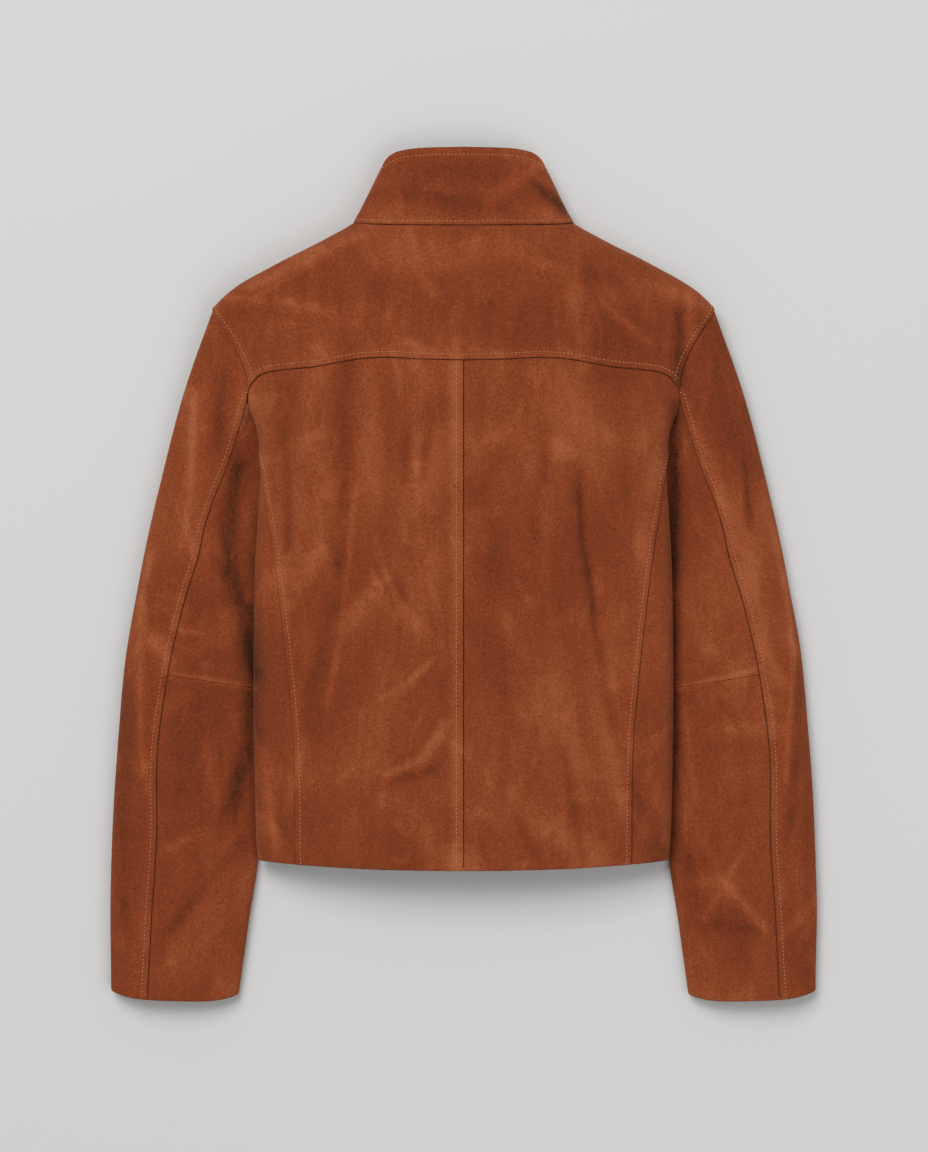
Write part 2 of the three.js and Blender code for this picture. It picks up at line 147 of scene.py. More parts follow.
BODY = tuple(BodyRow(*row) for row in (
    (-259, 179, 40, 12, 20), (-231, 181, 42, 14, 22), (-196, 182, 44, 16, 24), (-109, 183, 47, 19, 26),
    (-3, 182, 50, 20, 26), (55, 179, 50, 20, 26), (92, 177, 50, 20, 26), (110, 178, 50, 20, 26),
    (127, 180, 49, 20, 26), (143, 186, 49, 19, 25), (157, 193, 48, 18, 24), (175, 198, 47, 17, 23),
    (194, 204, 46, 16, 22), (212, 211, 45, 15, 21), (231, 219, 43, 14, 20), (238, 214, 43, 14, 19),
    (251, 199, 42, 14, 18), (272, 162, 41, 14, 17), (293, 121, 39, 14, 16), (308, 95, 37, 14, 15),
    (316, 87, 36, 14, 15),
))
SLEEVE = tuple(SleeveRow(*row) for row in (
    (0, 219.3, 230.2, 169.5, 13.5, 32, 14, 4.5, 0.357),
    (0.125, 246.8, 152.4, 175.5, -14.4, 28, 11, 4.5, 0.415),
    (0.25, 266.9, 74.7, 176.5, -43.2, 26, 9, 4.5, 0.42),
    (0.375, 283.9, -3.1, 177, -71.2, 25, 9, 4.5, 0.368), (0.5, 297, -80.8, 177, -100, 24, 9, 4.5, 0.327),
    (0.625, 303.1, -152.4, 177.5, -168.2, 22.5, 9, 4.5, 0.287),
    (0.75, 307.5, -224.1, 179, -236.3, 21, 8.5, 4.5, 0.31),
    (0.875, 309.3, -294.8, 188.3, -304.4, 20, 8, 5, 0.305),
    (1, 308.4, -363.9, 197, -367.5, 19, 8, 6, 0.29),
))
YOKE_SEAM = tuple(SeamRow(*row) for row in (
    (0, 185.6), (0.12, 186.5), (0.21, 187.9), (0.28, 187.2), (0.35, 184.3), (0.44, 180.4), (0.56, 178),
    (0.64, 176.5), (0.71, 173.2), (0.77, 167.3), (0.83, 161),
))
SIDE_BACK_SEAM = tuple(SeamRow(*row) for row in (
    (1.4, 112), (1.2, 107), (1.02, 100), (0.93, 90), (0.827, 63), (0.752, 32), (0.7, 0), (0.659, -43),
    (0.616, -101), (0.597, -145), (0.593, -188), (0.602, -251),
))
NECK_SEAM = tuple(SeamRow(*row) for row in (
    (0, 303.1), (0.5, 304.3), (1, 307.3), (1.3, 305.5), (1.87, 300), (2.18, 290), (2.44, 275),
    (2.71, 260), (3, 250), (3.2, 249),
))
COLLAR_TOP = tuple(SeamRow(*row) for row in (
    (0, 373), (0.35, 372.4), (0.6, 370), (0.75, 366.5), (0.9, 362), (1, 359), (1.3, 354), (2, 343),
    (2.5, 331), (3, 321), (3.2, 320),
))
ARMHOLE = tuple(ArmholeRow(*row) for row in (
    (-0.3, 1.7, 185), (-0.22, 1.55, 207), (-0.11, 1.3, 226), (0, 1, 232), (0.163, 0.9, 218),
    (0.264, 0.835, 196.6), (0.343, 0.81, 174.7), (0.386, 0.83, 161), (0.408, 0.87, 154), (0.446, 1, 141),
    (0.487, 1.25, 127), (0.531, 1.4, 112), (0.576, 1.45, 97), (0.694, 1.48, 60), (0.823, 1.5, 30),
    (1, 1.62, 13.5), (1.111, 1.72, 20), (1.248, 1.78, 45), (1.32, 1.82, 68), (1.403, 1.85, 90),
    (1.521, 1.85, 130), (1.611, 1.8, 160), (1.7, 1.7, 185), (1.78, 1.55, 207), (1.89, 1.3, 226),
))
FOLDS = tuple(Stroke(*row) for row in (
    (-85, 92, -96, 18, 14, 1.8), (-52, 122, -46, 84, 10, -1.4), (-68, 0, -54, -30, 10, -1.8),
    (-56, 14, -47, -10, 8, -1.2), (-60, -96, -42, -88, 12, 1.6), (-42, -88, -24, -64, 12, 1.6),
    (-107, -86, -122, -126, 14, 1.5), (-58, -169, -36, -163, 11, -1.5), (-36, -163, -23, -148, 11, -1.3),
    (-152, 102, -152, 56, 14, -1.8), (-163, -170, -163, -249, 11, -1.6), (-28, 141, -37, 112, 10, 1.1),
    (100, 90, 101, 60, 13, -2.2), (101, 60, 105, 31, 13, -2.8), (105, 31, 112, -4, 13, -2.8),
    (112, -4, 115, -37, 14, -2.6), (115, -37, 129, -91, 15, -2.4), (129, -91, 134, -127, 14, -1.8),
    (89, -158, 104, -210, 15, -1.8), (104, -210, 110, -248, 14, -1.6), (153, -132, 165, -180, 11, -1.4),
    (126, 234, 158, 200, 16, 1.8), (188, 224, 185, 168, 11, -3), (-187, 223, -185, 170, 10, -2.6),
    (50, -223, 54, -249, 10, -1), (-216, 227, -222, 200, 12, 2.2), (-222, 200, -231, 151, 13, 2.2),
    (-231, 151, -236, 115, 13, 2.1), (-236, 115, -241, 53, 14, 2), (-272, 13, -284, -109, 14, 1.8),
    (-284, -109, -278, -215, 14, 1.8), (-187, 115, -202, 62, 12, -2.6), (-202, 62, -204, 29, 12, -2.6),
    (-204, 29, -192, -16, 12, -2.6), (-192, -16, -184, -67, 12, -2.6), (-205, -254, -258, -315, 14, -2),
    (246, 97, 243, 38, 13, -1.8), (285, -27, 288, -100, 13, 1.8), (288, -100, 284, -158, 13, 1.8),
    (284, -158, 277, -215, 13, 1.6), (233, -280, 254, -311, 15, 1.6),
))
# Tone strokes on the suede, partly real nap patches and partly painted light: the dark strokes beside the
# body's edges on the sleeves, in the creases by the armholes, on the collar's fold and top rim and over the
# right sleeve are painted shade, and the thin light strokes along the shoulder slopes and the sleeves'
# ridges are painted highlights.
PAINTED_LIGHT_AND_NAP = tuple(Stroke(*row) for row in (
    (-208, 243, -179, 238, 6, 0.5), (-179, 254, -124, 279, 8, 0.6), (-185, 238, -135, 268, 4, 0.4),
    (-149, 236, -130, 231, 8, 0.5), (-143, 273, -100, 291, 9, 0.45), (-45, 291, -40, 274, 6, 0.5),
    (-40, 272, -29, 245, 4, 0.4), (-18, 269, 14, 277, 12, 0.35), (-55, 275, 32, 284, 24, 0.3),
    (-38, 240, 84, 208, 44, -0.3), (-45, 199, -37, 196, 6, 0.5), (96, 237, 100, 212, 12, 0.45),
    (124, 233, 158, 202, 4.5, 0.55), (126, 248, 130, 239, 7, 0.35), (152, 249, 156, 238, 7, 0.35),
    (169, 248, 212, 235, 14, 0.45), (188, 226, 187, 175, 8, -0.9), (196, 229, 198, 207, 7, 0.4),
    (100, 262, 122, 256, 10, -0.35), (70, 270, 95, 262, 8, 0.35), (-152, 170, -152, 127, 14, -0.4),
    (-154, 118, -152, 31, 6, -0.5), (-104, 178, -105, 14, 13, -0.4), (-108, -22, -127, -92, 15, -0.35),
    (-127, -92, -134, -127, 14, -0.3), (-83, 162, -80, 92, 17, 0.4), (-36, 78, -36, 4, 30, 0.45),
    (-29, 144, -34, 92, 5, -0.5), (-49, 118, -51, 83, 5, -0.45), (-93, 74, -106, -52, 4, 0.45),
    (-106, -52, -117, -109, 4.5, 0.5), (-99, -39, -69, -4, 15, 0.55), (-55, -26, -38, -44, 13, 0.55),
    (-74, 5, -60, -26, 4, -0.5), (-64, 8, -52, -18, 4, -0.4), (-51, -96, -27, -74, 4.5, 0.6),
    (-62, -102, -50, -97, 5, 0.4), (-60, -170, -34, -158, 6, 0.7), (-34, -158, -16, -131, 8, 0.6),
    (-66, -180, -32, -169, 7, -0.4), (-51, -197, -25, -232, 20, 0.4), (-169, -188, -163, -232, 9, 0.4),
    (-160, -214, -153, -234, 7, -0.4), (-140, -150, -150, -190, 8, 0.35), (-8, 182, -8, -252, 9, 0.4),
    (93, 166, 106, 118, 26, 0.35), (90, 107, 104, 103, 14, 0.4), (72, 122, 70, 86, 8, -0.35),
    (99, 83, 102, 31, 4, -0.7), (102, 31, 110, -13, 4, -0.7), (110, -13, 117, -66, 5, -0.6),
    (117, -66, 128, -127, 7, -0.4), (154, 31, 167, 92, 9, 0.4), (67, -214, 119, -249, 20, 0.5),
    (121, -127, 137, -197, 10, 0.4), (89, -162, 102, -240, 7, -0.4), (36, -39, 49, -66, 8, 0.35),
    (48, -214, 58, -236, 7, -0.35), (20, 150, 40, -140, 34, -0.2), (76, -100, 92, -150, 16, 0.3),
    (150, -197, 174, -244, 18, -0.45), (-235, 150, -238, 80, 4.5, 0.6), (-239, 66, -245, 27, 4.5, 0.5),
    (-273, 16, -282, -22, 6, 0.55), (-282, -22, -283, -63, 6, 0.55), (-282, -69, -282, -146, 5, 0.45),
    (-282, -146, -276, -184, 5, 0.4), (-272, -58, -258, -75, 10, 0.5), (-249, -47, -234, -50, 4.5, 0.55),
    (-211, 165, -212, 125, 14, -0.6), (-196, 92, -204, 45, 12, -0.9), (-204, 45, -203, 8, 13, -1),
    (-203, 8, -190, -39, 12, -0.9), (-190, -39, -184, -80, 12, -1.1), (-184, -80, -188, -150, 11, -0.8),
    (-188, -150, -205, -206, 14, -0.8), (-205, -206, -214, -226, 14, -0.4),
    (-257, -85, -184, -98, 4, 0.6), (-296, -109, -296, -284, 14, -0.35),
    (-199, -240, -256, -310, 9, -0.4), (-208, -284, -248, -336, 20, 0.3),
    (-235, -120, -230, -230, 40, -0.3), (-255, -237, -235, -228, 6, 0.4),
    (-225, -150, -216, -196, 6, 0.3), (184, 140, 185, 66, 8, -1), (185, 66, 185, 0, 8, -1),
    (185, 0, 185, -240, 7, -0.8), (207, 118, 246, 13, 8, 0.35), (246, 13, 263, -57, 8, 0.4),
    (245, 92, 249, 50, 6, -0.7), (225, 190, 245, 100, 30, -0.22), (263, 66, 272, 31, 8, 0.35),
    (272, 31, 283, -20, 4.5, 0.5), (283, -20, 288, -70, 4.5, 0.6), (288, -70, 285, -118, 4.5, 0.5),
    (285, -118, 281, -175, 4.5, 0.4), (263, -66, 274, -86, 9, 0.55), (189, -98, 256, -82, 4, 0.6),
    (233, -135, 268, -135, 12, 0.4), (294, -83, 293, -127, 7, -0.5), (293, -127, 285, -214, 8, -0.5),
    (228, -268, 260, -305, 6, 0.7), (228, -268, 205, -268, 7, 0.4), (228, -268, 240, -248, 6, 0.45),
    (228, -268, 212, -298, 5, 0.35), (215, -306, 244, -309, 13, -0.45), (193, -240, 207, -284, 14, -0.35),
    (195, -130, 202, -190, 5, 0.4), (205, -170, 214, -205, 5, -0.3), (230, -120, 236, -330, 44, -0.3),
    (300, -120, 300, -340, 16, -0.3), (292, -260, 294, -300, 8, 0.3), (-73, 332, 14, 324, 16, -0.4),
    (-55, 350, 32, 346, 22, -0.25), (36, 336, 67, 358, 10, 0.55), (60, 352, 74, 340, 7, 0.4),
    (72, 333, 84, 322, 9, -0.9), (60, 316, 84, 312, 10, 0.35), (-88, 330, -95, 312, 6, -0.5),
))
WAVES = (Wave(0.9, (42, 68, 60), 0), Wave(0.22, (13, 21, 20), 7))
SIDES = ("start", "end", "low", "high")
NEAR = np.array([0, 0.3, 0.7, 1.2, 1.9, 2.7, 3.6, 4.5, 5.4, 6.3, 7.2, 8.2, 9.6, 11.6, 14.0])


# Small helpers


def between(low: Array, high: Array, share: Array) -> Array:
    """Gives the value a share of the way from low to high."""
    return low + (high - low) * share


def ease(share: Array) -> Array:
    """Gives a soft step from 0 to 1."""
    held = np.clip(share, 0, 1)
    return held * held * (3 - 2 * held)


def steps(low: float, high: float, count: int = 120) -> Array:
    """Gives evenly spaced values from low to high."""
    return np.linspace(low, high, count)


def pairs(first: Array, second: Array) -> Array:
    """Joins two surface measures along a line, either of them fixed or not, into pairs."""
    return np.stack(np.broadcast_arrays(first, second), -1)


def running(points: Array) -> Array:
    """Gives the length of a line of points up to each of them."""
    return np.concatenate([[0], np.cumsum(np.linalg.norm(np.diff(points, axis=0), axis=1))])


def sample(places: Array, lengths: Array, points: Array) -> Array:
    """Gives a line's points at places along its length."""
    return np.stack([np.interp(places, lengths, column) for column in points.T], -1)


def unit(vectors: Array) -> Array:
    """Gives vectors of length one."""
    return vectors / np.maximum(np.linalg.norm(vectors, axis=-1, keepdims=True), 1e-12)


def wander(places: Array) -> Array:
    """Gives smooth noise at places, three measures each."""
    return np.array([noise.noise(Vector(place)) for place in places])


def cells(index: Array) -> Array:
    """Gives the four-sided faces of grids of point numbers."""
    corners = [index[..., :-1, :-1], index[..., :-1, 1:], index[..., 1:, 1:], index[..., 1:, :-1]]
    return np.stack(corners, -1).reshape(-1, 4)


def ribbon(first: Array, second: Array) -> Array:
    """Gives the faces between two rows of point numbers."""
    return np.stack([first[:-1], second[:-1], second[1:], first[1:]], -1).reshape(-1, 4)


def hang(data: bpy.types.ID, place: tuple[float, float, float]) -> Piece:
    """Puts a mesh, light or camera in the scene.

    Args:
        data: what the object shows.
        place: where it goes, in millimetres.

    Returns:
        The object, with the data's name.
    """
    thing = bpy.data.objects.new(data.name, data)
    thing.location = Vector(place) * MM
    bpy.context.scene.collection.objects.link(thing)
    return thing


def mesh_object(name: str, points: Array, faces: list) -> Piece:
    """Makes a smooth-shaded mesh object.

    Args:
        name: its name and its mesh's.
        points: its points in millimetres.
        faces: the point numbers of each face.

    Returns:
        The object, linked to the scene.
    """
    mesh = bpy.data.meshes.new(name)
    mesh.from_pydata((points * MM).tolist(), [], faces)
    mesh.shade_smooth()
    return hang(mesh, (0, 0, 0))


def strokes(lines: Sequence[Stroke], x: Array, y: Array, taper: float = 1.0) -> Array:
    """Gives each soft stroke's height at places in plan.

    Args:
        lines: the strokes.
        x: places, to the right.
        y: places, towards the collar.
        taper: how much longer than its sides a stroke's ends fade.

    Returns:
        One layer a stroke.
    """
    x1, y1, x2, y2, width, strength = np.expand_dims(np.array(lines).T, (2, 3)[:np.ndim(x)])
    dx, dy = x2 - x1, y2 - y1
    length = np.hypot(dx, dy)
    along = ((x - x1) * dx + (y - y1) * dy) / length
    aside = ((x - x1) * dy - (y - y1) * dx) / length
    beyond = (along - np.clip(along, 0, length)) / taper
    return strength * np.exp(-2 * (aside**2 + beyond**2) / width**2)


class Curve:
    """A cubic through a table's rows that never overshoots them."""

    def __init__(self, rows: Sequence[NamedTuple], given: str, wanted: str) -> None:
        """Reads two named columns.

        Args:
            rows: the table.
            given: the column that the curve is asked by.
            wanted: the column that it gives.
        """
        points = sorted((getattr(row, given), getattr(row, wanted)) for row in rows)
        self.x, self.y = (np.array(column, float) for column in zip(*points))
        rates = np.diff(self.y) / np.diff(self.x)
        product, total = rates[:-1] * rates[1:], rates[:-1] + rates[1:]
        mean = np.where(product > 0, 2 * product / np.where(product > 0, total, 1), 0)
        self.slopes = np.concatenate([rates[:1], mean, rates[-1:]])

    def __call__(self, x: Array) -> Array:
        """Gives the curve's value, straight on past its ends.

        Args:
            x: where it is asked.

        Returns:
            The value there.
        """
        x = np.asarray(x, float)
        i = np.clip(np.searchsorted(self.x, x, side="right") - 1, 0, len(self.x) - 2)
        width, rise = self.x[i + 1] - self.x[i], self.y[i + 1] - self.y[i]
        share = (x - self.x[i]) / width
        t = np.clip(share, 0, 1)
        first, last = width * self.slopes[i], width * self.slopes[i + 1]
        inside = self.y[i] + t * (first + t * (3 * rise - 2 * first - last + t * (first + last - 2 * rise)))
        return inside + np.minimum(share, 0) * first + np.maximum(share - 1, 0) * last


BODY_CURVES = {name: Curve(BODY, "y", name) for name in BodyRow._fields[1:]}
SLEEVE_CURVES = {name: Curve(SLEEVE, "s", name) for name in SleeveRow._fields[1:]}
YOKE = Curve(YOKE_SEAM, "turn", "y")
SIDE_BACK = Curve(SIDE_BACK_SEAM, "y", "turn")
NECK = Curve(NECK_SEAM, "turn", "y")
TOP = Curve(COLLAR_TOP, "turn", "y")
ARMHOLE_TURN = Curve(ARMHOLE, "round", "turn")
ARMHOLE_Y = Curve(ARMHOLE, "round", "y")


@dataclass(frozen=True)
class Joints:
    """Where seams meet: places round the armhole and turns round the body."""

    shoulder: float = -0.11
    yoke: float = 0.386
    sleeve_seam: float = 0.408
    side_back: float = 0.531
    side_front: float = 1.32
    once_round: float = 2.0
    shoulder_turn: float = 1.3
    side_back_hem_turn: float = 0.602
    side_front_hem_turn: float = 2.2
    yoke_turn: float = 0.83
    front_turn: float = 3.0
    front_overlap: float = 15.0
    elbow: float = 0.5


AT = Joints()


def armhole(place: Array) -> tuple[Array, Array]:
    """Gives turn and height y at a place round the armhole."""
    place = place - AT.once_round * np.floor((place - AT.shoulder) / AT.once_round + 1e-9)
    return ARMHOLE_TURN(place), ARMHOLE_Y(place)


# Surfaces: two measures give a point of the garment's outside


@dataclass(frozen=True)
class Body:
    """The body's outside, from turn round the section and height y, with the fronts' overlap."""

    hand: int = 1
    roundness: float = 0.85
    lift: float = 3.5
    lift_start: float = 38
    lift_end: float = 20
    hem_middle: float = -256.5
    hem_rise: float = 7.5
    hem_half: float = 179
    hem_power: float = 2.2

    def section(self, turn: Array, half: Array, crown: Array, edge: Array,
                tuck: Array) -> tuple[Array, Array, Array]:
        """Gives the half section at a turn.

        Args:
            turn: turn round the section.
            half: half width.
            crown: height at the middle.
            edge: height of the widest point.
            tuck: reach of the lower round.

        Returns:
            Distance from the middle, height, and how far up the crown the place is.
        """
        around = np.abs(turn)
        quarter = math.pi / 2 * np.where(around <= 1, around, around - 1)
        up = np.where(around <= 1, np.maximum(np.cos(quarter), 0) ** self.roundness, 0)
        parts = [around <= 1, around <= 2]
        tucked = half - tuck * (1 - np.cos(quarter))
        out = np.select(parts, [half * np.sin(quarter), tucked], (half - tuck) * (3 - around))
        height = np.select(parts, [edge + (crown - edge) * up, edge * (1 - np.sin(quarter))], 0.0)
        return out, height, up

    def raised(self, turn: Array, out: Array, across: Array) -> Array:
        """Gives how far the left front rises over the right front."""
        rise = self.lift * ease((self.lift_start - out) / (self.lift_start - self.lift_end))
        return np.where((across < 0) & (np.abs(turn) > 2), rise, 0.0)

    def across(self, turn: Array) -> Array:
        """Gives the side of the garment that a turn is on."""
        return self.hand * np.where(turn < 0, -1, 1)

    def points(self, turn: Array, y: Array) -> Array:
        """Gives points of the body's outside.

        Args:
            turn: turn round the section.
            y: height y.

        Returns:
            Points in millimetres.
        """
        turn, y = np.broadcast_arrays(np.asarray(turn, float), np.asarray(y, float))
        sizes = (BODY_CURVES[name](y) for name in ("half", "crown", "edge", "tuck"))
        out, z, up = self.section(turn, *sizes)
        across = self.across(turn)
        z = z + strokes(FOLDS, out * across, y).sum(0) * np.sqrt(up) + self.raised(turn, out, across)
        return np.stack([out * across, y, z], -1)

    def hem(self, turn: Array) -> Array:
        """Gives the hem's height y, lowest at the middle.

        Args:
            turn: turn round the section.

        Returns:
            The height.
        """
        half, tuck = (BODY_CURVES[name](self.hem_middle) for name in ("half", "tuck"))
        out = self.section(turn, half, 1.0, 1.0, tuck)[0]
        return self.hem_middle + self.hem_rise * np.abs(out / self.hem_half) ** self.hem_power

    def front_edge(self, y: Array) -> Array:
        """Gives the turn of a front's edge, past the middle by half of the overlap."""
        return AT.front_turn + AT.front_overlap / (BODY_CURVES["half"](y) - BODY_CURVES["tuck"](y))


@dataclass(frozen=True)
class Collar(Body):
    """The stand collar's outside, from turn round the neck and share of its height."""

    top_half: float = 70
    top_crown: float = 24
    top_edge: float = 10
    top_tuck: float = 12

    def points(self, turn: Array, y: Array) -> Array:
        """Gives points of the collar's outside.

        Args:
            turn: turn round the neck.
            y: share of the collar's height.

        Returns:
            Points in millimetres.
        """
        turn, share = np.broadcast_arrays(np.asarray(turn, float), np.asarray(y, float))
        base = Body(self.hand).points(turn, NECK(np.abs(turn)))
        out, z, _ = self.section(turn, self.top_half, self.top_crown, self.top_edge, self.top_tuck)
        across = self.across(turn)
        z = z + self.raised(turn, out, across)
        top = np.stack([out * across, TOP(np.abs(turn)), z], -1)
        return between(base, top, share[..., None])


@dataclass(frozen=True)
class Sleeve:
    """The sleeve's outside, a flattened tube, from place round it and share of the way to the cuff."""

    hand: int = 1
    tuck: float = 14
    roundness: float = 1.1
    slump: float = 0.25
    cuff_bow: float = 6.4
    cuff_start: float = 0.7
    cuff_reach: float = 0.3
    armhole_reach: float = 0.24

    def tube(self, place: Array, s: Array) -> Array:
        """Gives the plain tube for the right arm, before it is drawn onto the armhole.

        Args:
            place: place round the tube.
            s: share of the way to the cuff.

        Returns:
            Points in millimetres.
        """
        across = (1 - np.cos(math.pi * place)) / 2
        at = {name: curve(s) for name, curve in SLEEVE_CURVES.items()}
        x = between(at["outer_x"], at["inner_x"], across)
        bow = self.cuff_bow * ease((s - self.cuff_start) / self.cuff_reach) * (1 - (2 * across - 1) ** 4)
        y = between(at["outer_y"], at["inner_y"], across) - bow
        edge = between(at["outer_edge"], at["inner_edge"], across)
        hump = np.sqrt(np.maximum(4 * across * (1 - across), 0)) ** self.roundness
        top = edge + (at["crown"] - edge) * hump * (1 - self.slump * across**3)
        width = np.hypot(at["outer_x"] - at["inner_x"], at["outer_y"] - at["inner_y"])
        inwards = np.clip(np.minimum(across, 1 - across) * width / self.tuck, 0, 1)
        under = edge * (1 - np.sqrt(1 - (1 - inwards) ** 2))
        return np.stack([x, y, np.where(np.sin(math.pi * place) >= 0, top, under)], -1)

    def points(self, place: Array, s: Array) -> Array:
        """Gives points of the sleeve's outside.

        Args:
            place: place round the tube.
            s: share of the way to the cuff.

        Returns:
            Points in millimetres.
        """
        place, s = np.broadcast_arrays(np.asarray(place, float), np.asarray(s, float))
        mirror = np.array([self.hand, 1, 1])
        reach = 1 - ease(s / self.armhole_reach)
        start = Body(self.hand).points(*armhole(place)) * mirror
        points = self.tube(place, s) + (start - self.tube(place, np.zeros_like(s))) * reach[..., None]
        bulge = np.sqrt(np.maximum(np.sin(math.pi * place), 0)) * (1 - reach)
        points[..., 2] += strokes(FOLDS, points[..., 0] * self.hand, points[..., 1]).sum(0) * bulge
        points[..., 2] = np.maximum(points[..., 2], 0)
        return points * mirror


# Panels: a closed shell of cloth over a surface, with its seams' edges worked


class Finish(Enum):
    """How an edge of a panel is worked."""

    STITCHED = "lapped over its neighbour and sewn down in a row"
    TUCKED = "under its neighbour"
    FOLDED = "turned in, as at a hem"


@dataclass
class Edge:
    """One edge of a panel: its surface measures, its work, its row of stitches, its pace, a faint seam
    whose painted shade is lighter.
    """

    line: Array
    finish: Finish = Finish.TUCKED
    inset: float = 0.0
    pace: Array | None = None
    faint: bool = False


@dataclass(frozen=True)
class EdgeWork:
    """Sizes of a worked edge."""

    rounding: float = 1.0
    rounding_depth: float = 0.75
    lap_height: float = 0.55
    lap_fade: float = 9.0
    row_depth: float = 0.32
    row_width: float = 1.3
    tuck_depth: float = 0.3
    tuck_width: float = 5.0
    fold_rounding: float = 1.6
    pucker: float = 0.64
    pucker_pitch: float = 13.0
    pucker_apart: float = 9.7
    pucker_start: float = 3.1
    pucker_fade: float = 11.0

    def height(self, edge: Edge, away: Array) -> Array:
        """Gives how far the cloth stands proud.

        Args:
            edge: the edge.
            away: distances from it.

        Returns:
            Heights along the surface's normal.
        """
        rounding = self.fold_rounding if edge.finish is Finish.FOLDED else self.rounding
        corner = np.clip(1 - away / rounding, 0, 1)
        height = -self.rounding_depth * (1 - np.sqrt(1 - corner**2))
        if edge.finish is Finish.STITCHED:
            height = height + self.lap_height * (1 - ease((away - edge.inset) / self.lap_fade))
        if edge.finish is Finish.TUCKED:
            height = height - self.tuck_depth * (1 - ease(away / self.tuck_width))
        if edge.inset:
            height = height - self.row_depth * np.exp(-(((away - edge.inset) / self.row_width) ** 2))
        return height

    def puckers(self, number: int, away: Array, along: Array) -> Array:
        """Gives the small waves beside a seam, set apart by the edge's number."""
        apart = number * self.pucker_apart
        places = [(place / self.pucker_pitch, apart, self.pucker_start) for place in along.ravel()]
        return self.pucker * wander(places).reshape(away.shape) * np.exp(-away / self.pucker_fade)


WORK = EdgeWork()


